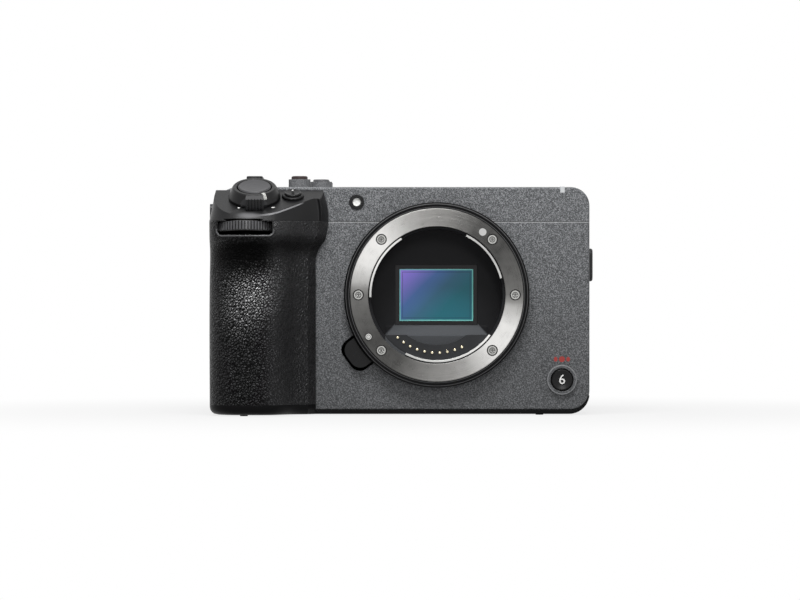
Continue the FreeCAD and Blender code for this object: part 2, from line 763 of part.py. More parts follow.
def make_base():
    """The thin black base: it turns up round the port side corner and is thicker under the grip."""
    block = box_part("base_block", ("side_x", "front_y", "0"), ("port_x", "rear_y", "lower_round + 2"))
    doc.recompute()
    corner = round_box("base_rounded", block, (("port_x", "lower_round"), ("side_x", "heel_round + 1.4")))
    above = box_part("cover_room", ("side_x", "front_y - 1", "foot_z"),
                     ("port_x", "rear_y + 1", "2 * lower_round"))
    doc.recompute()
    room = round_box("cover_room_rounded", above,
                     (("port_x", "lower_round - 0.4"), ("side_x", "heel_round + 0.8")))
    lid = box_part("base_limit", ("side_x - 1", "front_y - 1", "lower_round - 0.7"),
                   ("port_x + 1", "rear_y + 1", "2 * lower_round + 1"))
    plate = cut_part("base_main", corner, [room, lid])
    heel = doc.addObject("Part::Feature", "heel_plate")
    bend = mm("heel_round")
    sections = []
    for level in (0, 0.3, 0.8, 1.6, bend, mm("heel_z")):
        rise = max(0.0, bend - level)
        inset = bend - math.sqrt(bend * bend - rise * rise)
        sections.append(grip_wire(GRIP_LEVELS, mm("heel_z"), inset, level))
    heel.Shape = Part.makeLoft(sections, True, True)
    side = box_part("heel_side", ("grip_x", "front_y", "0"), ("seam_x", "split_y", "heel_z"))
    doc.recompute()
    side_soft = round_box("heel_side_soft", side, (("grip_x", "heel_round"),))
    soft = fuse_part("heel_slab", [heel, side_soft])
    whole = fuse_part("base_whole", [plate, soft])
    tools = [
        rod_part("tripod_hole", ("0", "0", "-1"), "tripod_bush_r", "6"),
        battery_room("battery_way", "foot_z", "battery_y + battery_long + slack", "heel_z + 1"),
        box_part("skin_way", ("side_x - 1", "front_y - 1", "heel_z"),
                 ("seam_x", "split_y", "lower_round + 3")),
        door_way("door_way", "battery_door_hinge_x + 1.2", "battery_door_thick + slack"),
        rod_part("battery_pin_way",
                 ("battery_door_hinge_x", "battery_door_low_y + battery_hinge_corner - 1.5",
                  "battery_door_thick / 2"),
                 "door_pin_r + 0.05",
                 "battery_door_high_y - battery_door_low_y - battery_hinge_corner + 3", REAR),
    ]
    for i in range(6):
        start = f"intake_x + {i} * intake_pitch"
        tools.append(box_part(f"intake_{i}", (start, "intake_front_y", "-1"),
                              (f"{start} + intake_wide", "intake_back_y", "foot_z + 1.6")))
    for i, (x, y) in enumerate(SCREWS):
        tools.append(rod_part(f"base_screw_way_{i}", (x, y, "-1"), "screw_r", "foot_z + 2.6"))
    plate = cut_part("base_cut", whole, tools)
    feet = [rod_part(f"foot_{i}", (x, y, "-pad_high"), "foot_r", "pad_high + 0.5")
            for i, (x, y) in enumerate(FEET)]
    fuse_part("base_plate", [plate] + feet, node=True)


SCREWS = [(f"screw_{side}_x", f"screw_{end}_y") for side in ("port", "seam") for end in ("front", "rear")]
SCREWS.append(("screw_grip_x", "screw_rear_y"))
FEET = [("foot_grip_x", "foot_heel_y"), ("foot_port_x", "foot_front_y"),
        ("foot_grip_x", "foot_rear_y"), ("foot_port_x", "foot_rear_y")]


def door_outline(right, extra):
    """The battery door's outline from below, drawn larger by a clearance."""
    left, low, high = "battery_door_left_x", "battery_door_low_y", "battery_door_high_y"
    corner = f"(battery_hinge_corner + {right} - battery_door_hinge_x)"
    return [
        (f"{left} - {extra}", f"{low} + battery_door_corner"),
        (f"{left} + battery_door_corner", f"{low} - {extra}"),
        (f"{right} - {corner}", f"{low} - {extra}"),
        (right, f"{low} + {corner} - {extra}"),
        (right, f"{high} + {extra}"),
        (f"{left} - {extra}", f"{high} + {extra}"),
    ]


def door_way(name, right, high):
    way = Piece(name, node=False)
    way.pad("top", [door_outline(right, "slack")], "-1", high)
    return way.body


def battery_room(name, low, back, high):
    """Room for the battery to slide through, rounded like its two front corners."""
    block = box_part(f"{name}_block", ("battery_x - slack", "battery_y - slack", low),
                     ("battery_x + battery_wide + slack", back, high))
    doc.recompute()
    soft = doc.addObject("Part::Fillet", name)
    soft.Base = block
    radius = mm("battery_round")
    soft.Edges = [(i + 1, radius, radius) for i, edge in enumerate(block.Shape.Edges)
                  if edge.BoundBox.ZLength > 0.5 and edge.BoundBox.YMax < mm("battery_y")]
    doc.recompute()
    return soft


def round_box(name, block, corners):
    """Rounds the bottom edges of a block that run from front to back."""
    made = doc.addObject("Part::Fillet", name)
    made.Base = block
    chosen = []
    for i, edge in enumerate(block.Shape.Edges):
        box = edge.BoundBox
        for side, radius in corners:
            low = abs(box.ZMax - block.Shape.BoundBox.ZMin) < 1e-4
            if low and box.YLength > 1 and abs(box.XMin - mm(side)) < 1e-4:
                chosen.append((i + 1, mm(radius), mm(radius)))
    made.Edges = chosen
    doc.recompute()
    return made


def release_tool(name, extra, low, high):
    """The tab outline of the lens release, as a block turned about the lens axis."""
    made = doc.addObject("Part::Box", name)
    bind(made, "Length", f"release_reach + ({extra}) - release_start")
    bind(made, "Width", f"release_wide + 2 * ({extra})")
    bind(made, "Height", f"({high}) - ({low})")
    turned = FRONT.multiply(Rotation(Vector(0, 0, 1), mm("release_angle")))
    made.Placement = FreeCAD.Placement(Vector(0, 0, 0), turned)
    across = f"(release_wide / 2 + ({extra}))"
    x, z = polar("release_start", "release_angle")
    bind(made, "Placement.Base.x", f"{x} + {across} * sin(release_angle)")
    bind(made, "Placement.Base.y", high)
    bind(made, "Placement.Base.z", f"axis_z + {z} - {across} * cos(release_angle)")
    doc.recompute()
    rounded = doc.addObject("Part::Fillet", f"{name}_rounded")
    rounded.Base = made
    axis = Vector(0, 0, mm("axis_z"))
    far = []
    for i, edge in enumerate(made.Shape.Edges):
        spot = edge.CenterOfMass
        along = abs(edge.Vertexes[0].Y - edge.Vertexes[-1].Y) > 0.05
        if along and Vector(spot.x, 0, spot.z).distanceToPoint(axis) > mm("release_start + release_round"):
            far.append((i + 1, mm("release_round"), mm("release_round")))
    rounded.Edges = far
    doc.recompute()
    return rounded


# Grip

GRIP_LEVELS = ("heel", "palm", "knuckle", "finger", "notch", "brow", "crown")
HOOD_LEVELS = ("crown", "rim", "deck", "peak")
# Points of a level section, as shares: round the nose, then along the flank, where the depth is a share
# of the hollow
NOSE_SHARES = ((0, 1), (0.13, 0.4), (0.44, 0.07), (1, 0))
FLANK_SHARES = ((0.3, 0.13), (0.51, 0.48))


def level_value(levels, name, z):
    """A value between the levels, along a smooth curve through them."""
    heights = [mm(f"{level}_z") for level in levels]
    values = [mm(f"{level}_{name}") for level in levels]
    i = max(0, min(len(heights) - 2, sum(1 for h in heights if h <= z) - 1))
    slopes = []
    for k in (i, i + 1):
        low, high = max(0, k - 1), min(len(heights) - 1, k + 1)
        slopes.append((values[high] - values[low]) / (heights[high] - heights[low]))
    span = heights[i + 1] - heights[i]
    t = min(1.0, max(0.0, (z - heights[i]) / span))
    return ((2 * t ** 3 - 3 * t * t + 1) * values[i] + (t ** 3 - 2 * t * t + t) * span * slopes[0]
            + (3 * t * t - 2 * t ** 3) * values[i + 1] + (t ** 3 - t * t) * span * slopes[1])


def grip_wire(levels, z, inset, level=None):
    """One level section of the grip in front of the front face: side, nose, flank and a straight back."""
    nose_y = level_value(levels, "nose_y", z) + inset
    right = level_value(levels, "right_x", z)
    hollow = level_value(levels, "hollow", z)
    lean = max(0.0, z - mm("crown_z")) * mm("crown_lean")
    left = mm("grip_x") + lean + inset
    nose_x = mm("grip_x + nose_back")
    back_y = mm("front_y")
    end_y = min(mm("grip_end_y") + inset, back_y - 0.3)
    run = right - nose_x
    drop = end_y - nose_y
    draw_in = 0.5 * inset
    z = z if level is None else level
    points = []
    for across, back in NOSE_SHARES:
        points.append(Vector(left + across * (nose_x - left), nose_y + back * mm("nose_deep"), z))
    for across, back in FLANK_SHARES:
        points.append(Vector(nose_x + across * run, nose_y + back * hollow * drop, z))
    corner = 0.78 - hollow
    points.append(Vector(nose_x + 0.73 * run, nose_y + hollow * drop, z))
    for point in points[-2:]:
        point.x -= draw_in
    turn = hollow + (0.5 - 0.8 * corner) * (1 - hollow)
    points.append(Vector(nose_x + 0.88 * run - 0.5 * draw_in, nose_y + turn * drop, z))
    points.append(Vector(right, end_y, z))
    last = points[-1] - points[-2]
    last.normalize()
    last.x += 0.3 - 2.2 * corner
    curve = Part.BSplineCurve()
    curve.interpolate(Points=points, InitialTangent=Vector(0, -1, 0), FinalTangent=last)
    back_left = Vector(left, back_y, z)
    back_right = Vector(right, back_y, z)
    edges = [
        Part.makeLine(back_left, points[0]),
        curve.toShape(),
        Part.makeLine(points[-1], back_right),
        Part.makeLine(back_right, back_left),
    ]
    return Part.Wire(edges)


def lofted(name, levels, low, high, count, inset):
    """A form skinned over evenly spaced level sections of the grip."""
    made = doc.addObject("Part::Feature", name)
    heights = [low + (high - low) * i / count for i in range(count + 1)]
    made.Shape = Part.makeLoft([grip_wire(levels, z, inset) for z in heights], True, True)
    return made


def thumb_wire(height):
    """One level of the thumb rest, at a share of its height above the rear face."""
    ramp = math.acos(1 - 2 * height) / math.pi
    steep = 1 - math.sqrt(1 - height * height)
    radius = mm("thumb_round")
    x0 = mm("side_x + thumb_left") + steep * mm("crest_left - thumb_left") + radius
    x1 = mm("side_x + thumb_right") + ramp * mm("crest_right - thumb_right") - radius
    z0 = mm("thumb_low_z") + ramp * mm("crest_low_z - thumb_low_z") + radius
    z1 = mm("thumb_high_z") + steep * mm("crest_high_z - thumb_high_z") - radius
    y = mm("rear_y") + height * mm("thumb_proud")
    arcs = []
    for x, z, turn in ((x1, z1, 0), (x0, z1, 90), (x0, z0, 180), (x1, z0, 270)):
        spots = [math.radians(turn + a) for a in (0, 45, 90)]
        arcs.append([Vector(x + radius * math.cos(a), y, z + radius * math.sin(a)) for a in spots])
    edges = []
    for arc, follower in zip(arcs, arcs[1:] + arcs[:1]):
        edges.append(Part.Arc(*arc).toShape())
        edges.append(Part.makeLine(arc[-1], follower[0]))
    return Part.Wire(edges)


def thumb_form(name):
    """The rest for the thumb: a swelling on the back, under the rear dial."""
    made = doc.addObject("Part::Feature", name)
    steps = 10
    wires = [thumb_wire((1 - math.cos(math.pi * i / steps)) / 2) for i in range(steps + 1)]
    made.Shape = Part.makeLoft(wires, True, True)
    return made


def make_grip():
    """Skin, core and hood share the same sections, so they always fit each other."""
    low, high = mm("heel_z"), mm("crown_z")
    outer = lofted("grip_outer", GRIP_LEVELS, low, high, 20, 0)
    inner = lofted("grip_inner", GRIP_LEVELS, low, high, 20, mm("skin_thick"))
    side = box_part("grip_side", ("grip_x", "front_y", "heel_z"), ("seam_x", "split_y", "crown_z"))
    side_inner = box_part("grip_side_inner", ("grip_x + skin_thick", "front_y", "heel_z"),
                          ("seam_x", "split_y", "crown_z"))
    form = fuse_part("grip_form", [outer, side])
    core_form = fuse_part("grip_core_form", [inner, side_inner])
    under = "-front_dial_high / 2 - 0.4"
    space = rod_part("dial_space", FRONT_DIAL_AT, "front_dial_r + dial_gap", "front_dial_high + 0.8", LEAN,
                     under)
    block = box_part("dial_mouth_block",
                     ("front_dial_x - dial_mouth / 2", "front_dial_y - front_dial_r - 4",
                      f"front_dial_z + {under}"),
                     ("front_dial_x + dial_mouth / 2", "front_dial_y - 2",
                      "front_dial_z + front_dial_high / 2 + 0.6"))
    doc.recompute()
    mouth = round_box("dial_mouth", block, [(f"front_dial_x {sign} dial_mouth / 2", "mouth_round")
                                            for sign in "-+"])
    slot = fuse_part("dial_slot", [space, mouth])
    wrap = cut_part("grip_wrap", form, [core_form, slot])
    skin = doc.addObject("Part::Compound", "grip_skin")
    skin.Links = [wrap, thumb_form("thumb_rest")]
    nodes.append(("grip_skin", skin))
    chamber = battery_room("battery_chamber", "battery_z - 1", "split_y + 1", "battery_z + battery_high + 1")
    hollow = box_part("core_hollow", ("battery_x + battery_wide + 1.6", "front_y + 1.6", "heel_z + 2"),
                      ("seam_x + 1", "split_y + 1", "crown_z - 2.4"))
    upper = box_part("core_upper",
                     ("grip_x + skin_thick + 2", "front_y + 2", "battery_z + battery_high + 3.4"),
                     ("seam_x + 1", "split_y + 1", "crown_z + 1"))
    core_dial = rod_part("core_dial_space", FRONT_DIAL_AT, "front_dial_r + dial_gap", "front_dial_high + 6",
                         LEAN, under)
    bare = cut_part("grip_core_bare", core_form, [chamber, hollow, upper, core_dial, mouth])
    axle = rod_part("front_dial_axle", FRONT_DIAL_AT, "axle_r", "front_dial_high + 1.6", LEAN,
                    "-front_dial_high / 2 - 1.2")
    fuse_part("grip_core", [bare, axle], node=True)


def make_hood():
    """The smooth black cap over the grip: its tilted deck carries the zoom lever and a button."""
    form = lofted("hood_form", HOOD_LEVELS, mm("crown_z"), mm("peak_z - 1"), 12, 0)
    above = doc.addObject("Part::Box", "above_deck")
    for side in ("Length", "Width", "Height"):
        bind(above, side, "room")
    above.Placement = FreeCAD.Placement(Vector(0, 0, 0), DECK)
    bind(above, "Placement.Base.x", "zoom_x - room / 2")
    bind(above, "Placement.Base.y", "deck_edge_y - room / 4")
    bind(above, "Placement.Base.z", "deck_edge_z - room / 4 * tan(deck_tilt)")
    space = rod_part("hood_dial_space", FRONT_DIAL_AT, "front_dial_r + dial_gap",
                     "front_dial_high / 2 + dial_gap", LEAN)
    bare = cut_part("hood_bare", form, [above])
    boss = rod_part("hood_boss", ZOOM_AT, "zoom_bore_r - fit_gap", "2.1", DECK, "-1")
    whole = fuse_part("hood_whole", [bare, boss])
    way = rod_part("shutter_path", ZOOM_AT, "shutter_stem_r + fit_gap", "12", DECK, "-7")
    iso_way = rod_part("iso_path", ISO_AT, "collar_r", "12", DECK, "-iso_deep")
    behind = box_part("behind_face", ("grip_x - 1", "front_y", "crown_z - 5"),
                      ("seam_x + 20", "front_y + 30", "top_z + 20"))
    cut_part("grip_hood", whole, [way, iso_way, behind, space], node=True)


# Lens mount

def sector(inner, outer, start, stop, parts=10):
    """A curved block between two radii and two angles."""
    angles = [f"({start}) + (({stop}) - ({start})) * {i} / {parts}" for i in range(parts + 1)]
    return [polar(outer, a) for a in angles] + [polar(inner, a) for a in reversed(angles)]


SCREW_ANGLES = (0, 45, 135, 180, 225, 315)
CLAWS = ((122, 182), (14.5, 63.6), (242, 323))


def make_mount():
    """The steel ring with its three claws, the black ring under it and the small parts in them."""
    screws = [polar("mount_screw_circle", a) for a in SCREW_ANGLES]
    pin_spot = polar("lock_pin_circle", "lock_pin_angle")
    base = Piece("mount_base_ring", MOUNT, FRONT)
    base.turn([("throat_r + tube_wall", "-flange_gap - wall"), ("mount_hole_r", "-flange_gap - wall"),
               ("mount_hole_r", "-flange_gap"), ("base_ring_r", "-flange_gap"), ("base_ring_r", "-1"),
               ("base_ring_r - 0.6", "-0.35"), ("ring_r", "-0.35"), ("ring_r", "-ring_thick"),
               ("throat_r + tube_wall", "-ring_thick")])
    base.pocket("top", [disc(*pin_spot, "lock_pin_r + fit_gap")], "-flange_gap - wall - 1", "0")
    ring = Piece("lens_mount_ring", MOUNT, FRONT)
    ring.turn([("relief_r", "-ring_thick"), ("ring_r", "-ring_thick"), ("ring_r", "-0.2"),
               ("ring_r - 0.2", "0"), ("register_r", "0"), ("register_r", "-register_deep"),
               ("relief_r", "-register_deep")])
    ring.pad("top", [sector("claw_r", "relief_r + 0.5", a, b) for a, b in CLAWS], "-ring_thick",
             "-register_deep")
    wells = [disc(x, y, "mount_screw_r + 0.2") for x, y in screws]
    ring.pocket("top", wells, "-1.1", "1")
    ring.pocket("top", [disc(*pin_spot, "lock_pin_r + fit_gap")], "-ring_thick - 1", "1")
    index_spot = polar("index_circle", "index_angle")
    ring.pocket("top", [disc(*index_spot, "index_r")], "-0.35", "1")
    heads = Piece("mount_screws", MOUNT, FRONT)
    heads.pad("top", [disc(x, y, "mount_screw_r") for x, y in screws], "-1.1", "-0.3")
    for bars in zip(*[cross(x, y) for x, y in screws]):
        heads.pocket("top", bars, "-0.7", "0")
    dot = Piece("mount_index_dot", MOUNT, FRONT)
    dot.pad("top", [disc(*index_spot, "index_r")], "-0.35", "0.02")
    pin = Piece("lock_pin", MOUNT, FRONT)
    pin.pad("top", [disc(*pin_spot, "lock_pin_r")], "-flange_gap - wall - 1.5", "0.9")


def make_release_button():
    """A tab beside the mount: its inner side follows the ring, and a skirt keeps it in."""
    tab = release_tool("release_tab", "0", "front_y - release_proud", "front_y + wall + 0.6")
    ring = rod_part("release_ring_space", ("0", "front_y + wall + 2", "axis_z"), "base_ring_r + 0.2", "10",
                    FRONT)
    cut_part("lens_release_button", tab, [ring], node=True)


def make_light_box():
    """The black chamber behind the mount: tube, flange, rear wall with its window, and the sloped floor."""
    part = Piece("light_box_tube", MOUNT, FRONT, node=False)
    deep = f"({FLANGE}) - light_box_y"
    part.pad("top", [disc(0, 0, "throat_r + tube_wall")], f"{deep} - 0.5", "-ring_thick")
    part.pad("top", [disc(0, 0, "base_ring_r")], "-flange_gap - wall - 1.5", "-flange_gap - wall")
    part.pad("top", [plate("box_wide", "box_high")], f"{deep} - 1.5", deep)
    part.pocket("top", [disc(0, 0, "throat_r")], deep, "1")
    part.pocket("top", [plate("window_wide", "window_high")], f"{deep} - 3", "1")
    spot = polar("lock_pin_circle", "lock_pin_angle")
    part.pocket("top", [disc(*spot, "lock_pin_r + fit_gap")], f"{deep} + 0.5", "-flange_gap - wall + 0.5")
    ears = [disc(f"{a}ear_x", f"{b}ear_z", "post_r - 0.3") for a in ("-", "") for b in ("-", "")]
    part.pocket("top", ears, f"{deep} - 3", f"{deep} + 1")
    floor = Piece("light_box_floor", node=False)
    back, front = "light_box_y + 0.3", "light_box_y - ramp_deep - 1.2"
    outline = [(back, "axis_z - window_high / 2 + 0.1"), ("light_box_y - ramp_deep", "axis_z - ramp_drop"),
               (front, "axis_z - ramp_drop - 0.2"), (front, "axis_z - throat_r - 0.8"),
               (back, "axis_z - throat_r - 0.8")]
    floor.pad("side", [outline], "-ramp_wide / 2", "ramp_wide / 2")
    top, foot = "axis_z - window_high / 2 + 0.2", "axis_z - ramp_drop"
    for sign in ("-", ""):
        flare = [(f"{sign}(ramp_wide / 2 + 1)", foot), (f"{sign}ramp_wide / 2", foot),
                 (f"{sign}window_wide / 2", top), (f"{sign}(ramp_wide / 2 + 1)", top)]
        floor.pocket("front", [flare], "light_box_y - ramp_deep - 2", "light_box_y - 0.1")
    limit = rod_part("floor_limit", ("0", "light_box_y + 0.3", "axis_z"), "throat_r + 0.5", "12", FRONT)
    held = doc.addObject("Part::Common", "floor_held")
    held.Base = floor.body
    held.Tool = limit
    fused = fuse_part("light_box_fused", [part.body, held])
    tab = release_tool("light_box_tab", "release_gap + 0.3", "front_y + wall - 1", "front_y + wall + 4.6")
    cut_part("light_box", fused, [tab], node=True)
    block = Piece("contact_block", MOUNT, FRONT)
    arc = sector("contact_inner_r", "throat_r", "contact_block_start", "contact_block_stop", 14)
    block.pad("top", [arc], "-contact_block_deep", "-ring_thick - 0.1")
    block.pocket("top", [rect("-throat_r", "0.2 - ramp_drop", "throat_r", "0")], "-contact_block_deep - 1",
                 "-ring_thick")
    pins = []
    for i in range(int(mm("contact_count"))):
        x, y = polar("contact_circle", f"contact_start + {i} * contact_step")
        pins.append(disc(x, y, "contact_pin_r"))
    block.pocket("top", pins, "3 - contact_block_deep", "-ring_thick + 1")
    rods = Piece("contact_pins", MOUNT, FRONT)
    rods.pad("top", pins, "3 - contact_block_deep", "-ring_thick + 0.3")
    rods.soften(lambda edge: edge.BoundBox.ZMin > mm("0.3 - ring_thick") - 1e-3, "0.18")


# Sensor and its shifting stage

def make_sensor():
    """The sensor on its carriage, the shifting frame behind it and the fixed base with its posts."""
    at = ("0", f"{FLANGE} + register_to_sensor", "axis_z")
    sensor = Piece("image_sensor", at, FRONT)
    sensor.pad("top", [plate("package_wide", "package_high")], "-package_thick", "0")
    sensor.pad("top", [plate("glass_wide", "glass_high")], "-0.2", "glass_thick")
    carriage = Piece("sensor_carriage", at, FRONT)
    back = "-package_thick"
    carriage.pad("top", [plate("carriage_wide", "carriage_high")], f"{back} - plate_thick", back)
    carriage.pocket("top", [window(0)], f"{back} - plate_thick - 1", f"{back} + 1")
    frame = Piece("stage_frame", at, FRONT)
    level = f"{back} - plate_thick - stage_gap"
    outline = plate("carriage_wide + stage_margin", "carriage_high + stage_margin")
    frame.pad("top", [outline], f"{level} - plate_thick", level)
    frame.pocket("top", [window(1)], f"{level} - plate_thick - 1", f"{level} + 1")
    balls = [disc("-ball_x", "ball_low_z", "ball_r"), disc("ball_x", "ball_low_z", "ball_r"),
             disc("0", "ball_high_z", "ball_r")]
    frame.pad("top", balls, f"{level} - 0.2", f"{level} + stage_gap - 0.05")
    frame.pad("top", balls, f"{level} - plate_thick - stage_gap + 0.05", f"{level} - plate_thick + 0.2")
    base = Piece("stabilizer_base", at, FRONT)
    rear = f"{level} - plate_thick - stage_gap"
    base.pad("top", [plate("stage_wide", "stage_high")], f"{rear} - plate_thick", rear)
    posts = [disc(f"{a}ear_x", f"{b}ear_z", "post_r") for a in ("-", "") for b in ("-", "")]
    base.pad("top", posts, f"{rear} - 0.2", f"({at[1]}) - light_box_y - 1.5")
    base.pocket("top", [window(1)], f"{rear} - plate_thick - 1", f"{rear} + 1")


def window(step):
    """The window of a stage plate, a step wider on each side with each plate towards the back."""
    wide = f"carriage_window + {2 * step} * window_step"
    return plate(wide, f"{wide} - 8")


def make_cooling():
    """Heat sink on the stage's base, and the fan that draws air in below and out at the side."""
    face = f"{FLANGE} + register_to_sensor + package_thick + 3 * plate_thick + 2 * stage_gap"
    sink = Piece("heat_sink", ("0", face, "axis_z"), REAR)
    low, high = "-sink_high / 2", "sink_high / 2"
    sink.pad("top", [rect("sink_left_x", low, "sink_right_x", high)], "0", "sink_thick")
    fins = []
    for i in range(9):
        start = f"2 - sink_high / 2 + {i} * fin_pitch"
        fins.append(rect("sink_left_x", start, "sink_right_x", f"{start} + fin_thick"))
    sink.pad("top", fins, "sink_thick - 0.2", "sink_thick + fin_high")
    top = f"{face} + sink_thick + fin_high"
    case = Piece("fan_housing", ("fan_x", top, "fan_z"), REAR)
    half = "fan_case / 2"
    case.pad("top", [plate("fan_case", "fan_case")], "0", "fan_deep + 2")
    case.round_corners("top", [(f"{a}{half}", f"{b}{half}") for a in ("", "-") for b in ("", "-")], "2")
    case.pocket("top", [disc(0, 0, "fan_r + 0.6")], "-1", "fan_deep + 0.8")
    case.pocket("top", [disc(0, 0, "fan_r - 1")], "fan_deep", "fan_deep + 3")
    case.pad("top", [disc(0, 0, "fan_hub_r")], "fan_deep + 0.9", "fan_deep + 2")
    reach, thin = "(fan_r + 0.2)", "fan_arm / 2"
    for turn in (0, 60, 120):
        arm = [(f"{a} * {reach} * cos({turn}) - {b} * {thin} * sin({turn})",
                f"{a} * {reach} * sin({turn}) + {b} * {thin} * cos({turn})")
               for a, b in ((-1, -1), (1, -1), (1, 1), (-1, 1))]
        case.pad("top", [arm], "fan_deep + 0.9", "fan_deep + 2")
    case.pad("top", [disc(0, 0, "1")], "1", "fan_deep + 1")
    rotor = Piece("fan_rotor", ("fan_x", top, "fan_z"), REAR)
    rotor.turn([("1.1", "0.5"), ("fan_hub_r", "0.5"), ("fan_hub_r", "fan_deep"),
                ("fan_hub_r - 0.6", "fan_deep + 0.4"), ("1.1", "fan_deep + 0.4")])
    blade = [("fan_hub_r - 0.3", "-0.5"), ("0.66 * fan_r", "0.9"), ("fan_r - 0.3", "4.2"),
             ("fan_r - 0.6", "4.9"), ("0.65 * fan_r", "1.7"), ("fan_hub_r - 0.3", "0.5")]
    rotor.pad("top", [blade], "0.5", "fan_deep")
    rotor.around("fan_blades")


def make_boards():
    """The main board, the reader with its card, and the two connector blocks at the port side."""
    board = Piece("main_board", ("0", "board_y", "0"), REAR)
    low, high, right = "-board_low_z", "-board_high_z", "board_right_x"
    notch = ["-data_high_z - 0.1", "socket_x - 0.4", "0.4 - data_low_z"]
    outline = [("board_left_x", high), (right, high), (right, notch[0]), (notch[1], notch[0]),
               (notch[1], notch[2]), (right, notch[2]), (right, low), ("board_left_x", low)]
    board.pad("top", [outline], "0", "board_thick")
    chips = []
    for x, z, wide, deep in CHIPS:
        left, bottom = f"board_left_x + {x}", f"board_low_z + {z}"
        chips.append(rect(left, f"-({bottom} + {deep})", f"{left} + {wide}", f"-({bottom})"))
    board.pad("top", chips, "board_thick - 0.2", "board_thick + 1.4")
    edge = "card_wide / 2 + reader_wall"
    reader = Piece("card_reader")
    reader.pad("front", [rect("card_x + 0.9", f"card_low_z - ({edge})", "card_x + card_long + 1.4",
                              f"card_high_z + {edge}")],
               "card_y - card_thick / 2 - 2.9", "card_y + card_thick / 2 + 3.1")
    for z in ("card_low_z", "card_high_z"):
        slot = rect("card_x", f"{z} - card_wide / 2 - 0.2", "card_x + card_long + 0.8",
                    f"{z} + card_wide / 2 + 0.2")
        reader.pocket("front", [slot], "card_y - card_thick / 2 - fit_gap",
                      "card_y + card_thick / 2 + fit_gap")
    card = Piece("memory_card", ("card_x", "card_y", "card_low_z"))
    half = "card_wide / 2"
    card.pad("front", [rect("0", f"-{half}", "card_long", half)], "-card_thick / 2", "card_thick / 2")
    card.round_corners("front", [("card_long", half), ("0", half), ("0", f"-{half}")], "1")
    make_sockets()


# Chips of the main board: place from its lower corner, width and height
CHIPS = ((37, 20.5, 17, 17), (17, 34.5, 12, 9), (19, 8.5, 10, 12), (61, 38.5, 14, 12), (61, 8.5, 9, 9))
# Data connectors: lower and upper end above the door's lower edge, width and the tongue's thickness
CONNECTORS = ((27, 41.4, 4.4, 1), (14.6, 23.6, 3.2, 0.7), (3.6, 11.2, 2.4, 0.6))


def make_sockets():
    """The connector blocks behind the two port doors: two round jacks, and three flat connectors."""
    sockets = Piece("port_sockets")
    audio = rect("audio_low_y + 1.2", "audio_low_z + 0.5", "audio_high_y - 1.2", "audio_high_z - 0.4")
    data = rect("data_low_y + 1", "data_low_z + 1", "data_high_y - 3.2", "data_high_z - 1.8")
    sockets.pad("side", [audio, data], "socket_x", "port_x - door_thick - 0.5")
    middle = "(audio_low_y + audio_high_y) / 2"
    jacks = [disc(middle, z, "jack_r") for z in ("audio_low_z + 7", "audio_high_z - 7")]
    back = "socket_x + port_deep"
    sockets.pocket("side", jacks, back, "port_x")
    ports = []
    tongues = []
    for low, high, wide, thin in CONNECTORS:
        ports.append(rect(f"port_line_y - {wide} / 2", f"data_low_z + {low}", f"port_line_y + {wide} / 2",
                          f"data_low_z + {high}"))
        tongues.append(rect(f"port_line_y - {thin} / 2", f"data_low_z + {low} + 1.2",
                            f"port_line_y + {thin} / 2", f"data_low_z + {high} - 1.2"))
    sockets.pocket("side", ports, back, "port_x")
    sockets.pad("side", tongues, f"{back} - 0.2", "port_x - door_thick - 1")


# Fixed fittings

def lug_rim(edge):
    """The outer edge of the lug on the port side."""
    box = edge.BoundBox
    reach = abs(box.Center.y - mm("lug_y")) > mm("lug_wide / 2") - 1
    return box.XMin > mm("port_x + lug_proud") - 0.001 and (reach or box.YLength > 1.5 and not (
        mm("lug_low_z + 1") < box.Center.z < mm("lug_high_z - 1")))


def make_lugs():
    """A strap lug on the port side and one high on the grip side: plates with a slot, held by a tongue."""
    lugs = Piece("strap_lugs")
    half = "lug_wide / 2"
    corners = []
    for y, low, high in (("lug_y", "lug_low_z", "lug_high_z"),
                         ("grip_lug_y", "grip_lug_low_z", "grip_lug_high_z")):
        corners += [(f"{y} {sign} {half}", z) for sign in "-+" for z in (low, high)]
    lugs.pad("side", [rect(f"lug_y - {half}", "lug_low_z", f"lug_y + {half}", "lug_high_z")],
             "port_x", "port_x + lug_proud")
    lugs.pad("side", [lug_tang("lug_y", "lug_high_z - tang_drop")], "port_x - wall + 0.5", "port_x + 0.2")
    slot = rect("lug_y - 1.6", "lug_low_z + 1.5", "lug_y + 1.6", "lug_high_z - tang_drop - 1")
    lugs.pocket("side", [slot], "port_x - 1", "port_x + lug_proud + 1")
    outline = rect(f"grip_lug_y - {half}", "grip_lug_low_z", f"grip_lug_y + {half}", "grip_lug_high_z")
    lugs.pad("side", [outline], "grip_x - 1", "grip_x")
    lugs.pad("side", [lug_tang("grip_lug_y", "seam_z + 0.6")], "grip_x - 0.3", "side_x + wall - 0.5")
    slot = rect("grip_lug_y - 1.6", "grip_lug_low_z + 1.4", "grip_lug_y + 1.6", "seam_z - 1.4")
    lugs.pocket("side", [slot], "grip_x - 2", "grip_x + 0.2")
    lugs.round_corners("side", corners, "2")
    lugs.soften(lug_rim, "lug_soft")


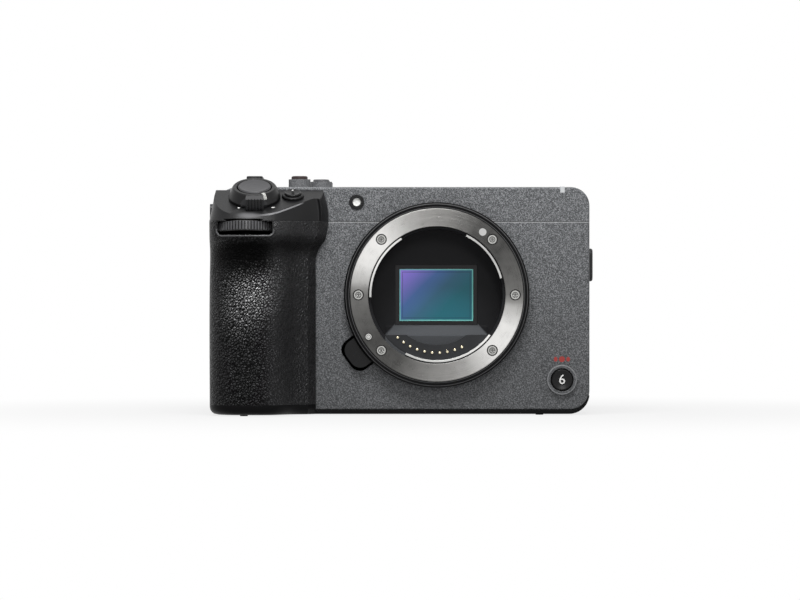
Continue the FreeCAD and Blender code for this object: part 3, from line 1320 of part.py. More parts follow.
def make_fittings():
    """The shoe, threaded bushes, screws, lamp windows and the collars round the top buttons."""
    shoe = Piece("accessory_shoe", ("shoe_x", "shoe_y", "top_z - shoe_deep"))
    half = ("shoe_wide / 2", "shoe_long / 2")
    shoe.pad("top", [rect(f"-{half[0]}", f"-{half[1]}", *half)], "0", "shoe_deep")
    shoe.pocket("top", [rect("-shoe_foot / 2", "-shoe_long / 2 + 1.2", "shoe_foot / 2", "shoe_long")], "1.2",
                "shoe_deep - shoe_rail")
    shoe.pocket("top", [rect("-shoe_slot / 2", "-shoe_long / 2 + 1.2", "shoe_slot / 2", "shoe_long")], "1.1",
                "shoe_deep + 1")
    bushes = Piece("accessory_bushes")
    bushes.pad("top", [disc(f"bush_{n}_x", f"bush_{n}_y", "bush_r") for n in "abc"], "top_z - bush_deep - 1",
               "top_z")
    bushes.pad("top", [disc(f"bush_{n}_x", f"bush_{n}_y", "bush_r + 1.2") for n in "abc"],
               "top_z - wall - 1.5", "top_z - wall")
    bushes.pocket("top", [disc(f"bush_{n}_x", f"bush_{n}_y", "thread_r") for n in "abc"], "top_z - bush_deep",
                  "top_z + 1")
    bush = Piece("tripod_bush")
    rim, flange = "tripod_bush_r", "tripod_bush_r + 3"
    bush.turn([("thread_r", "0"), (rim, "0"), (rim, "foot_z"), (flange, "foot_z"),
               (flange, "foot_z + 1.6"), (rim, "foot_z + 1.6"), (rim, "tripod_deep + 1"),
               ("0", "tripod_deep + 1"), ("0", "tripod_deep"), ("thread_r", "tripod_deep")])
    screws = Piece("cover_screws")
    screws.pad("top", [disc(x, y, "screw_r") for x, y in SCREWS], "0.2", "foot_z")
    for bars in zip(*[cross(x, y) for x, y in SCREWS]):
        screws.pocket("top", bars, "0", "0.6")
    lamps = Piece("lamp_windows")
    lamps.pad("front", [disc("lamp_x", "lamp_z", "lamp_ring_r")], "front_y - 0.35", "front_y + wall")
    lamps.pocket("front", [disc("lamp_x", "lamp_z", "lamp_r")], "front_y - 1", "front_y + 0.1")
    window = rect("tally_x - tally_wide / 2", "top_z - tally_high", "tally_x + tally_wide / 2",
                  "top_z + 0.15")
    lamps.pad("front", [window], "front_y - 0.15", "front_y + 1.5")
    make_lugs()
    rings = Piece("top_collars", node=False)
    for name, high in (("top_rec", "rec_collar_high"), ("iris", "collar_high"), ("white", "collar_high")):
        rings.pad("top", [disc(f"{name}_x", f"{name}_y", "collar_r")], "top_z - wall - 0.8",
                  f"top_z + {high}")
        rings.pocket("top", [disc(f"{name}_x", f"{name}_y", "button_r + fit_gap")], "top_z - wall",
                     f"top_z + {high} + 1")
    tilted = Piece("tilted_collar", ISO_AT, DECK, node=False)
    bore = "button_r + fit_gap"
    tilted.turn([("0", "-iso_deep"), ("collar_r", "-iso_deep"), ("collar_r", "0.7"), ("collar_r - 0.3", "1"),
                 (bore, "1"), (bore, "0.9 - iso_deep"), ("0", "0.9 - iso_deep")])
    both = doc.addObject("Part::Compound", "button_collars")
    both.Links = [rings.body, tilted.body]
    nodes.append(("button_collars", both))


# Controls

def button(name, at, turned, radius, low, high, dish="0.25"):
    """A small button: a plunger with a softened, slightly hollow top."""
    part = Piece(name, at, turned)
    part.turn([("0", low), (radius, low), (radius, f"{high} - 0.3"), (f"{radius} - 0.3", high),
               (f"({radius}) * 0.55", f"{high} - {dish}"), ("0", f"{high} - {dish} - 0.1")])
    return part


def make_grip_controls():
    lever = Piece("zoom_lever", ZOOM_AT, DECK)
    lever.turn([("zoom_bore_r", "0.15"), ("zoom_r", "0.15"), ("zoom_r", "0.9"), ("zoom_top_r + 0.7", "2.4"),
                ("zoom_top_r", "zoom_high - 0.4"), ("zoom_top_r - 0.4", "zoom_high"),
                ("zoom_bore_r + 0.3", "zoom_high"), ("zoom_bore_r", "zoom_high - 0.3")])
    lever.pad("top", [rect("tab_left", "-zoom_r - 1.9", "tab_right", "-zoom_bore_r - 1.2")], "0.15",
              "zoom_high - 0.1")
    grooves = row(5, "tab_left + 0.8", "1.02", "0.4", "-zoom_r - 3", "-zoom_r - 1.4")
    lever.pocket("top", grooves, "0", "zoom_high + 1")
    cap = Piece("shutter_button", ZOOM_AT, DECK)
    cap.turn([("0", "-3"), ("shutter_stem_r", "-3"), ("shutter_stem_r", "2.3"), ("shutter_r", "2.3"),
              ("shutter_r", "4.1"),
              ("shutter_r - 0.4", "4.5"), ("3.4", "4.15"), ("1.7", "3.95"), ("0", "3.9")])
    dial = Piece("front_dial", FRONT_DIAL_AT, LEAN)
    half = "front_dial_high / 2"
    dial.turn([("2.1", f"-{half}"), ("front_dial_r - 0.4", f"-{half}"), ("front_dial_r", f"-{half} + 0.4"),
               ("front_dial_r", f"{half} - 0.4"), ("front_dial_r - 0.4", half), ("2.1", half)])
    tooth = [("front_dial_r - tooth_deep", "-tooth_root"), ("front_dial_r + 1", "-0.4"),
             ("front_dial_r + 1", "0.4"), ("front_dial_r - tooth_deep", "tooth_root")]
    dial.pocket("top", [tooth], f"-{half} - 1", f"{half} + 1")
    dial.around("60")
    iso = button("iso_button", ISO_AT, DECK, "button_r", "-1.6", "1.7")
    iso.pad("top", [disc(0, 0, "0.45")], "1", "1.75")


def make_top_controls():
    dial = Piece("rear_dial", ("rear_dial_x", "rear_dial_y", "rear_dial_z"))
    dial.turn([("2.1", "0"), ("rear_dial_r - 0.4", "0"), ("rear_dial_r", "0.4"),
               ("rear_dial_r", "rear_dial_high - 0.4"),
               ("rear_dial_r - 0.4", "rear_dial_high"), ("2.1", "rear_dial_high")])
    tooth = [("rear_dial_r - tooth_deep", "-tooth_root"), ("rear_dial_r + 1", "-0.4"),
             ("rear_dial_r + 1", "0.4"), ("rear_dial_r - tooth_deep", "tooth_root")]
    dial.pocket("top", [tooth], "-1", "rear_dial_high + 1")
    dial.around("54")
    lever = Piece("power_lever", ("power_x", "power_y", "top_z"))
    lever.turn([("0", "-2.6"), ("2.3", "-2.6"), ("2.3", "0.1"), ("power_r", "0.1"),
                ("power_r", "power_high - 0.5"),
                ("power_r - 0.5", "power_high"), ("0", "power_high")])
    lever.pad("top", [rect("-2.75", "-power_r - 1.4", "2.75", "power_r - 1")], "power_high - 1",
              "power_high + power_knob_high")
    lever.soften(lambda edge: edge.BoundBox.ZMin > mm("power_high + power_knob_high") - 0.01, "0.5")
    depth = "-wall + 0.7"
    for name, high, proud in (("top_rec", "rec_collar_high", "rec_proud"),
                              ("iris", "collar_high", "button_proud"),
                              ("white", "collar_high", "button_proud")):
        label = {"top_rec": "top_rec_button", "iris": "iris_button", "white": "white_balance_button"}[name]
        button(label, (f"{name}_x", f"{name}_y", "top_z"), None, "button_r", depth, f"{high} + {proud}")


def make_front_controls():
    at = ("front_rec_x", "front_y", "front_rec_z")
    part = button("front_rec_button", at, FRONT, "front_rec_r", "-wall - 1.6", "front_rec_collar_high + 0.3")
    part.pad("top", [disc(0, 0, "front_rec_r + 1.4")], "-wall - 1.6", "-wall - 0.05")


def make_rear_controls():
    wheel = Piece("control_wheel", ("wheel_x", "rear_y", "wheel_z"), REAR)
    wheel.turn([("wheel_bore_r", "-3.4"), ("wheel_r", "-3.4"), ("wheel_r", "wheel_proud - 0.5"),
                ("wheel_r - 0.5", "wheel_proud"),
                ("wheel_bore_r + 1.2", "wheel_proud - 0.4"), ("wheel_bore_r", "wheel_proud - 0.9")])
    tooth = [("wheel_r - 0.5", "-0.2"), ("wheel_r + 1", "-0.5"), ("wheel_r + 1", "0.5"),
             ("wheel_r - 0.5", "0.2")]
    wheel.pocket("top", [tooth], "0.2", "wheel_proud + 1")
    wheel.around("48")
    button("wheel_button", ("wheel_x", "rear_y", "wheel_z"), REAR, "wheel_bore_r - fit_gap", "-2.7",
           "wheel_proud - 0.6")
    for name in ("menu", "playback", "delete"):
        button(f"{name}_button", (f"{name}_x", "rear_y", f"{name}_z"), REAR, "button_r", "-2.7", "0.6")
    at = ("stick_x", "rear_y - 3", "stick_z")
    ring = Piece("joystick_gimbal", at, REAR)
    ring.turn([("3", "-1"), ("stick_r + 0.8", "-1"), ("stick_r + 0.8", "1"), ("3", "1")])
    ring.pad("side", [disc(0, 0, "0.6")], "stick_r + 0.4", "stick_r + 1.5")
    ring.pad("side", [disc(0, 0, "0.6")], "-stick_r - 1.5", "-stick_r - 0.4")
    stick = Piece("joystick_cap", at, REAR)
    stick.turn([("0", "-1.3"), ("1.6", "-1.3"), ("1.6", "4.6"), ("stick_r", "5"), ("stick_r", "6.6"),
                ("stick_r - 0.5", "7.1"),
                ("1.8", "6.6"), ("0", "6.4")])
    stick.pad("front", [disc(0, 0, "0.6")], "-2.9", "-1.2")
    stick.pad("front", [disc(0, 0, "0.6")], "1.2", "2.9")


# Screen, doors and battery

def make_screen():
    arm = Piece("hinge_arm", ("hinge_x", "hinge_y", "0"))
    arm.pad("top", [disc(0, 0, "hinge_r")], "hinge_low_z + 0.15", "hinge_high_z - 0.15")
    arm.pad("top", [disc(0, 0, "hinge_pin_r")], "hinge_low_z - knuckle_long + 0.3",
            "hinge_high_z + knuckle_long - 0.3")
    arm.pad("top", [rect("-hinge_r - 1", "-2", "0", "2")], "hinge_low_z + 2", "hinge_high_z - 2")
    shell = Piece("screen_shell", ("hinge_x", "hinge_y", "0"))
    left = "recess_left_x + screen_gap - hinge_x"
    low = "rear_y - recess_deep + screen_gap - hinge_y"
    flat = ("recess_low_z + screen_gap", "recess_high_z - screen_gap")
    shell.pad("top", [rect(left, low, "-hinge_r - 1", f"{low} + screen_thick")], *flat)
    edges = [(left, "recess_low_z + screen_gap"), (left, "recess_high_z - screen_gap")]
    shell.round_corners("front", edges, "screen_round")
    ends = [("-hinge_r - 1", "recess_low_z + screen_gap"), ("-hinge_r - 1", "recess_high_z - screen_gap")]
    shell.round_corners("front", ends, "1.5")
    seat = rect(f"{left} + screen_border", "recess_low_z + screen_gap + screen_border",
                "-hinge_r - 1 - screen_border", "recess_high_z - screen_gap - screen_border")
    back = f"{low} + screen_thick"
    shell.soften(lambda edge: edge.BoundBox.YMin > mm(back) - 0.01, "0.8")
    shell.pocket("front", [seat], f"{back} - screen_glass_thick", f"{back} + 1")
    glass = Piece("screen_glass", ("hinge_x", "hinge_y", "0"))
    glass.pad("front", [seat], f"{back} - screen_glass_thick", f"{back} - 0.05")


def door_pins(part, low, high):
    part.pad("top", [disc(0, 0, "door_pin_r")], f"{low} - 1.2", f"{high} + 1.2")
    return part


def make_doors():
    card = Piece("card_door", ("side_x + door_thick / 2", "card_door_hinge_y", "0"))
    card.pad("top", [rect("-door_thick / 2", "card_door_front_y - card_door_hinge_y", "door_thick / 2", "0")],
             "card_door_low_z", "card_door_high_z")
    card.pad("top", [disc(0, 0, "door_thick / 2")], "card_door_low_z", "card_door_high_z")
    door_pins(card, "card_door_low_z", "card_door_high_z")
    audio = Piece("audio_port_door", ("port_x - door_thick / 2", "audio_low_y + 1.1", "0"))
    audio.pad("top", [rect("-door_thick / 2", "0", "door_thick / 2", "audio_high_y - audio_low_y - 1.1")],
              "audio_low_z", "audio_high_z")
    audio.pad("top", [disc(0, 0, "door_thick / 2")], "audio_low_z", "audio_high_z")
    door_pins(audio, "audio_low_z", "audio_high_z")
    data = Piece("data_port_door", ("port_x - door_thick / 2", "data_high_y - 1.1", "0"))
    data.pad("top", [rect("-door_thick / 2", "data_low_y - data_high_y + 1.1", "door_thick / 2", "0")],
             "data_low_z", "data_high_z")
    data.pad("top", [disc(0, 0, "door_thick / 2")], "data_low_z", "data_high_z")
    door_pins(data, "data_low_z", "data_high_z")
    hatch = Piece("battery_door", ("battery_door_hinge_x", "0", "battery_door_thick / 2"))
    outline = [(f"{x} - battery_door_hinge_x", y) for x, y in door_outline("battery_door_hinge_x", "0")]
    start = "battery_door_low_y + battery_hinge_corner + battery_door_thick / 2 + slack"
    step = "-battery_door_thick / 2 - slack"
    lower = f"battery_door_low_y + battery_hinge_corner + ({step})"
    outline[3:4] = [(step, lower), (step, start), ("0", start)]
    hatch.pad("top", [outline], "-battery_door_thick / 2", "battery_door_thick / 2")
    hatch.pad("front", [disc(0, 0, "battery_door_thick / 2")], start, "battery_door_high_y")
    hatch.pad("front", [disc(0, 0, "door_pin_r")], f"{start} - 2.3", "battery_door_high_y + 1")
    hatch.pad("top", [rect("-21", "-25", "-4.5", "3")], "0.4", "2")
    hatch.pocket("top", [rect("-23.4", "-15", "-15.4", "-9")], "-3", "0")
    latch = Piece("battery_latch", ("battery_door_hinge_x", "0", "battery_door_thick / 2"))
    latch.pad("top", [rect("-23.2", "-14.8", "-18.2", "-9.2")], "-1.1", "-0.1")
    latch.pocket("top", [rect(f"-22.4 + {i} * 1.2", "-14", f"-22 + {i} * 1.2", "-10") for i in range(4)],
                 "-2", "-0.8")
    battery = Piece("battery_pack")
    battery.pad("top", [rect("battery_x", "battery_y", "battery_x + battery_wide",
                             "battery_y + battery_long")], "battery_z", "battery_z + battery_high")
    battery.round_corners("top", [("battery_x", "battery_y"), ("battery_x + battery_wide", "battery_y")],
                          "battery_round")
    terminals = [rect(f"battery_x + 6 + {i} * 4", "battery_y + battery_long - 3.4",
                      f"battery_x + 8.6 + {i} * 4", "battery_y + battery_long - 0.8") for i in range(3)]
    battery.pocket("top", terminals, "battery_z + battery_high - 1", "battery_z + battery_high + 1")


def write_parts():
    """Checks every object and writes one file per piece."""
    doc.recompute()
    for thing in doc.Objects:
        if "Invalid" in thing.State or "Error" in thing.State:
            raise RuntimeError(f"{thing.Name} could not be built: {thing.State}")
    os.makedirs("parts", exist_ok=True)
    for old in os.listdir("parts"):
        os.remove(os.path.join("parts", old))
    for name, thing in sorted(nodes):
        shape = thing.Shape
        if shape.isNull() or not shape.isValid() or not shape.Solids:
            raise RuntimeError(f"{name} has no valid shape")
        shape.exportStep(f"parts/{name}.step")
        box = shape.optimalBoundingBox()
        spans = [(box.XMin, box.XMax), (box.YMin, box.YMax), (box.ZMin, box.ZMax)]
        reach = "  ".join(f"{low:6.1f} {high:6.1f}" for low, high in spans)
        print(f"{name:22s} {len(shape.Solids):2d} {shape.Volume:9.1f}  {reach}")


for step in (make_front_cover, make_top_cover, make_rear_cover, make_base, make_grip, make_hood, make_mount,
             make_release_button, make_light_box, make_sensor, make_cooling, make_boards, make_fittings,
             make_grip_controls, make_top_controls, make_front_controls, make_rear_controls, make_screen,
             make_doors):
    step()
    doc.recompute()
write_parts()
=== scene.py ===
# Looks of a compact cinema camera body without a lens.
# Lengths in the dictionaries are millimetres, unless a note says otherwise, and angles are degrees.
import json
import math

import bpy
from mathutils import Matrix, Vector

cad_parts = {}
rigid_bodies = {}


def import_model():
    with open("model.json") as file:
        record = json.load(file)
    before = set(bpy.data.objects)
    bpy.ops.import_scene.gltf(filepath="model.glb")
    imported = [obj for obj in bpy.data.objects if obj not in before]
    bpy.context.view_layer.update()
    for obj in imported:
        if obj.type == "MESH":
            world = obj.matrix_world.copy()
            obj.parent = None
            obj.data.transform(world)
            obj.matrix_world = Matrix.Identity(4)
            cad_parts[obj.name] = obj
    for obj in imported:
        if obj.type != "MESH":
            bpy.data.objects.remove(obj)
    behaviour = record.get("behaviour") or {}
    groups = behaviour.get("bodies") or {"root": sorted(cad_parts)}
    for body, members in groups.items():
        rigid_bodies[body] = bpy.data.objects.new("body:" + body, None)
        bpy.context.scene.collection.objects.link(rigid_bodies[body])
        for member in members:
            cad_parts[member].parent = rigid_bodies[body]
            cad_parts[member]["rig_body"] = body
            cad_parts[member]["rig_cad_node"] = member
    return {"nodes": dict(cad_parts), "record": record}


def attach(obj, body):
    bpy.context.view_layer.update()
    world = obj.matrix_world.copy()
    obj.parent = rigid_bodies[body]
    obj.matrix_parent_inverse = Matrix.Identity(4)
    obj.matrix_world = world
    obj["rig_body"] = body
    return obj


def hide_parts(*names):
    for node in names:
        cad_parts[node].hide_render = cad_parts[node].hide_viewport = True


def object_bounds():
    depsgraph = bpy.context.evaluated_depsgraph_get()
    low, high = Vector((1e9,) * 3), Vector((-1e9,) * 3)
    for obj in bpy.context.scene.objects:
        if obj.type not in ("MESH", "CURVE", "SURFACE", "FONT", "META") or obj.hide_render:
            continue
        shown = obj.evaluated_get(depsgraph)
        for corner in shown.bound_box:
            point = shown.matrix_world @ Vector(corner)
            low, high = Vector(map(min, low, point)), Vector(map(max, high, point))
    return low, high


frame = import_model()
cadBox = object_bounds()
nodes = frame["nodes"]
mm = 0.001
print("frame loaded:", len(nodes), "nodes")


# Selecting and shaping

def deselectAll():
    if bpy.context.object and bpy.context.object.mode != "OBJECT":
        bpy.ops.object.mode_set(mode="OBJECT")
    bpy.ops.object.select_all(action="DESELECT")


def pick(piece):
    deselectAll()
    piece.select_set(True)
    bpy.context.view_layer.objects.active = piece


def editAll():
    bpy.ops.object.mode_set(mode="EDIT")
    bpy.ops.mesh.select_all(action="SELECT")


def editDone():
    bpy.ops.object.mode_set(mode="OBJECT")


def shifted(x, y, z):
    # a shift in millimetres, as a matrix in metres
    return Matrix.Translation(Vector((x, y, z)) * mm)


def turned(angle, axis):
    return Matrix.Rotation(math.radians(angle), 4, axis)


def settle(piece, place):
    # puts a finished mesh where it belongs and leaves its object at the origin
    pick(piece)
    piece.matrix_world = place
    bpy.ops.object.transform_apply(location=True, rotation=True, scale=True)


def hand(piece, name, material, body):
    piece.name = name
    piece.data.name = name
    piece.data.materials.clear()
    piece.data.materials.append(material)
    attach(piece, body)
    return piece


# Shader maths

class Wire:
    # one output socket, so that shader maths reads as plain expressions
    def __init__(self, look, socket):
        self.look = look
        self.socket = socket

    def maths(self, operation, *values):
        return self.look.add("ShaderNodeMath", {"operation": operation}, dict(enumerate(values)))

    def __add__(self, other):
        return self.maths("ADD", self, other)

    def __radd__(self, other):
        return self.maths("ADD", other, self)

    def __sub__(self, other):
        return self.maths("SUBTRACT", self, other)

    def __rsub__(self, other):
        return self.maths("SUBTRACT", other, self)

    def __mul__(self, other):
        return self.maths("MULTIPLY", self, other)

    def __rmul__(self, other):
        return self.maths("MULTIPLY", other, self)

    def __truediv__(self, other):
        return self.maths("DIVIDE", self, other)

    def __pow__(self, other):
        return self.maths("POWER", self, other)

    def __lt__(self, other):
        return self.maths("LESS_THAN", self, other)

    def __gt__(self, other):
        return self.maths("GREATER_THAN", self, other)

    def __abs__(self):
        return self.maths("ABSOLUTE", self)

    def within(self, low=0.0, high=1.0):
        return self.maths("MINIMUM", self.maths("MAXIMUM", self, low), high)

    def swing(self, reach):
        # a noise of 0 to 1 as a change up and down, reach wide in all
        return (self - 0.5) * reach

    def ramp(self, *stops):
        return self.look.add("ShaderNodeValToRGB", {"stops": stops}, {0: self})

    def smooth(self, low, high):
        sockets = {"Value": self, "From Min": low, "From Max": high}
        return self.look.add("ShaderNodeMapRange", {"interpolation_type": "SMOOTHSTEP"}, sockets)


class Tree:
    # adds nodes to one node tree and wires them up
    def __init__(self, tree):
        self.tree = tree

    def add(self, kind, settings, sockets, output=0):
        node = self.tree.nodes.new(kind)
        for key, value in settings.items():
            if key == "stops":
                self.setStops(node.color_ramp, value)
            else:
                setattr(node, key, value)
        for key, value in sockets.items():
            self.join(node.inputs[key], value)
        return Wire(self, node.outputs[output])

    def setStops(self, ramp, stops):
        while len(ramp.elements) < len(stops):
            ramp.elements.new(0.5)
        for element, (position, colour) in zip(ramp.elements, stops):
            element.position = position
            element.color = (*colour, 1)

    def join(self, socket, value):
        if isinstance(value, Wire):
            self.tree.links.new(value.socket, socket)
        elif isinstance(value, tuple) and len(value) == 3 and socket.type == "RGBA":
            socket.default_value = (*value, 1)
        else:
            socket.default_value = value


class Look(Tree):
    # one material; x, y, z and place are the position in millimetres in the camera's own frame
    def __init__(self, name, **fixed):
        self.material = bpy.data.materials.new(name)
        self.material.use_nodes = True
        super().__init__(self.material.node_tree)
        self.shader = self.tree.nodes["Principled BSDF"]
        for socket, value in fixed.items():
            self.shader.inputs[socket.replace("_", " ")].default_value = value
        metres = self.add("ShaderNodeTexCoord", {}, {}, "Object")
        self.place = self.vector("SCALE", metres, Scale=1 / mm)
        self.x, self.y, self.z = (
            self.add("ShaderNodeSeparateXYZ", {}, {0: self.place}, axis) for axis in "XYZ")

    def vector(self, operation, *values, **sockets):
        sockets.update(enumerate(values))
        return self.add("ShaderNodeVectorMath", {"operation": operation}, sockets)

    def noise(self, perMm, detail=2.0, vector=None, output="Fac"):
        sockets = {"Vector": vector or self.place, "Scale": perMm, "Detail": detail}
        return self.add("ShaderNodeTexNoise", {}, sockets, output)

    def cells(self, perMm, feature="F1", output="Distance", vector=None):
        sockets = {"Vector": vector or self.place, "Scale": perMm}
        return self.add("ShaderNodeTexVoronoi", {"feature": feature}, sockets, output)

    def warped(self, perMm, reach):
        # the position pushed about by a slow noise, for patterns that mustn't look regular
        push = self.vector("SUBTRACT", self.noise(perMm, output="Color"), (0.5, 0.5, 0.5))
        return self.vector("ADD", self.place, self.vector("SCALE", push, Scale=reach))

    def mix(self, share, first, second):
        return self.add("ShaderNodeMix", {"data_type": "RGBA"}, {0: share, 6: first, 7: second}, 2)

    def tone(self, share, deep, colour):
        # from deep times the colour up to the colour itself
        return self.mix(share, tuple(v * deep for v in colour), colour)

    def radius(self, across, along):
        return (across * across + along * along) ** 0.5

    def finish(self, edge=0.0, height=None, depth=0.0, **varying):
        # edge is how far corners look rounded, depth how deep the bump is
        for socket, value in varying.items():
            self.join(self.shader.inputs[socket.replace("_", " ")], value)
        normal = None
        if edge:
            normal = self.add("ShaderNodeBevel", {"samples": 4}, {"Radius": edge * mm})
        if height is not None:
            sockets = {"Height": height, "Distance": depth * mm, "Strength": 1.0}
            if normal is not None:
                sockets["Normal"] = normal
            normal = self.add("ShaderNodeBump", {}, sockets)
        if normal is not None:
            self.join(self.shader.inputs["Normal"], normal)
        return self.material


def shade(*levels):
    # a display colour, 0 to 255, as the linear colour that the shader takes
    return tuple(((level / 255 + 0.055) / 1.055) ** 2.4 if level > 10 else level / 255 / 12.92
                 for level in levels)


# Covers: grey crackle paint with a few bright flakes

paint = {"grain": ((0.34, shade(52, 53, 55)), (0.5, shade(87, 89, 91)),
                   (0.66, shade(139, 140, 143))),
         "grainPerMm": 3.3, "bump": 0.07, "edge": 0.3, "roughness": 0.5, "roughSwing": 0.35,
         "roughRange": (0.2, 0.8),
         "flake": shade(170, 171, 174), "flakesPerMm": 2.8, "flakeRare": 0.93, "flakeSize": 0.42,
         "flakeShare": 0.5, "foot": shade(10, 10, 10), "footShadeShare": 0.42, "footShadeTop": 76}
seam = {"z": 64.6, "gap": shade(30, 30, 31), "gapUp": 0.1, "gapHalf": 0.13, "gapShare": 0.7,
        "splitY": 9.0, "splitHalf": 0.12, "sideX": 51.0,
        "lip": shade(176, 177, 178), "highlightDown": 0.2, "highlightHalf": 0.17, "highlightShare": 0.42}
recordCollar = {"x": 42.1, "z": 11.5, "bore": 3.9, "boreY": -19.5, "black": shade(16, 16, 17),
                "rim": 4.85, "rimHalf": 0.2, "rimY": -22.05, "rimShare": 0.6,
                "paleAndSheen": shade(172, 173, 175)}


def coverPaint():
    look = Look("coverPaint", Metallic=0.15, Specular_IOR_Level=0.35)
    grain = look.noise(paint["grainPerMm"], 3.0)
    colour = grain.ramp(*paint["grain"])
    flakes = look.cells(paint["flakesPerMm"], output="Color")
    chance = look.add("ShaderNodeSeparateColor", {}, {0: flakes})
    flake = (chance > paint["flakeRare"]) * (look.cells(paint["flakesPerMm"]) < paint["flakeSize"])
    colour = look.mix(flake * paint["flakeShare"], colour, paint["flake"])
    # hairlines where the covers meet, with a painted highlight on the lip below the upper one
    above = look.z - seam["z"]
    split = abs(look.y - seam["splitY"]) < seam["splitHalf"]
    split = split * (above < 0) * (abs(look.x) > seam["sideX"])
    gap = (abs(above - seam["gapUp"]) < seam["gapHalf"]) + split
    colour = look.mix(gap.within() * seam["gapShare"], colour, seam["gap"])
    lipHighlight = abs(above + seam["highlightDown"]) < seam["highlightHalf"]
    colour = look.mix(lipHighlight * seam["highlightShare"], colour, seam["lip"])
    # the record button's collar has a black bore and a pale ring at its rim
    away = look.radius(look.x - recordCollar["x"], look.z - recordCollar["z"])
    bore = (away < recordCollar["bore"]) * (look.y < recordCollar["boreY"])
    colour = look.mix(bore, colour, recordCollar["black"])
    rim = abs(away - recordCollar["rim"]) < recordCollar["rimHalf"]
    rim = rim * (look.y < recordCollar["rimY"])
    colour = look.mix(rim * recordCollar["rimShare"], colour, recordCollar["paleAndSheen"])
    # painted shade: the grey deepens towards the foot, where less light falls
    foot = 1 - look.z.smooth(0, paint["footShadeTop"])
    colour = look.mix(foot * paint["footShadeShare"], colour, paint["foot"])
    rough = (paint["roughness"] + grain.swing(paint["roughSwing"])).within(*paint["roughRange"])
    return look.finish(paint["edge"], grain, paint["bump"], Base_Color=colour, Roughness=rough)


# the collars of the small buttons: painted like the covers on top, black on the hood's deck
collars = {"dark": shade(88, 89, 91), "light": shade(126, 127, 129), "deck": shade(15, 15, 16),
           "deckY": -20, "grainPerMm": 3.0, "patches": (0.35, 0.65), "bump": 0.02, "edge": 0.25,
           "roughness": 0.42, "roughSwing": 0.2}


def collarPaint():
    look = Look("collarPaint", Specular_IOR_Level=0.2)
    grain = look.noise(collars["grainPerMm"], 3.0)
    grey = look.mix(grain.smooth(*collars["patches"]), collars["dark"], collars["light"])
    colour = look.mix(look.y < collars["deckY"], grey, collars["deck"])
    rough = collars["roughness"] + grain.swing(collars["roughSwing"])
    return look.finish(collars["edge"], grain, collars["bump"], Base_Color=colour, Roughness=rough)


# Grip: embossed leather, with a painted highlight on the palm swell and painted shade in the finger
# hollow

leather = {"valley": shade(5, 5, 5), "crest": shade(40, 40, 41), "pebblesPerMm": 1.08,
           "steepness": 3.0, "roundness": 0.7, "warpPerMm": 0.6, "warp": 1.1, "foldPerMm": 1.6,
           "finePerMm": 5.0, "domeHeight": 0.8, "foldHeight": 0.5, "fineHeight": 0.12,
           "bump": 0.28, "edge": 0.5, "roughness": 0.46, "smoother": 0.08, "fineRough": 0.1,
           "litSide": (-0.12, 0.0, 0.34), "domeSheen": 0.45, "sideSheen": 0.6, "foldSheen": 0.8,
           "paleAndSheen": (0.06, 0.66), "dull": 0.95, "gloss": 0.1, "frontY": -20}
palm = {"paintedHighlight": shade(112, 112, 113), "x": -61.2, "z": 39.2, "lean": 0.29, "wide": 4.9,
        "tall": 5.8, "gloss": 0.85, "smoother": 0.14}
flankLit = {"colour": shade(38, 38, 39), "x": (-59, -53), "share": 0.75, "gloss": 0.1}
shoulderLit = {"colour": shade(64, 64, 65), "z": (59, 61), "x": (-56.5, -54), "share": 0.7}
hollowShade = {"colour": shade(3, 3, 3), "foot": (43.5, 50.5), "top": (56.1, 58.6), "right": (-58, -51),
          "share": 0.92}
eaveShade = {"foot": (52.5, 55.5), "top": (57, 59), "left": (-54, -50), "share": 0.6}


def pebbleHeight(look, where):
    gap = look.cells(leather["pebblesPerMm"], "DISTANCE_TO_EDGE", vector=where)
    return (gap * leather["steepness"]).within() ** leather["roundness"]


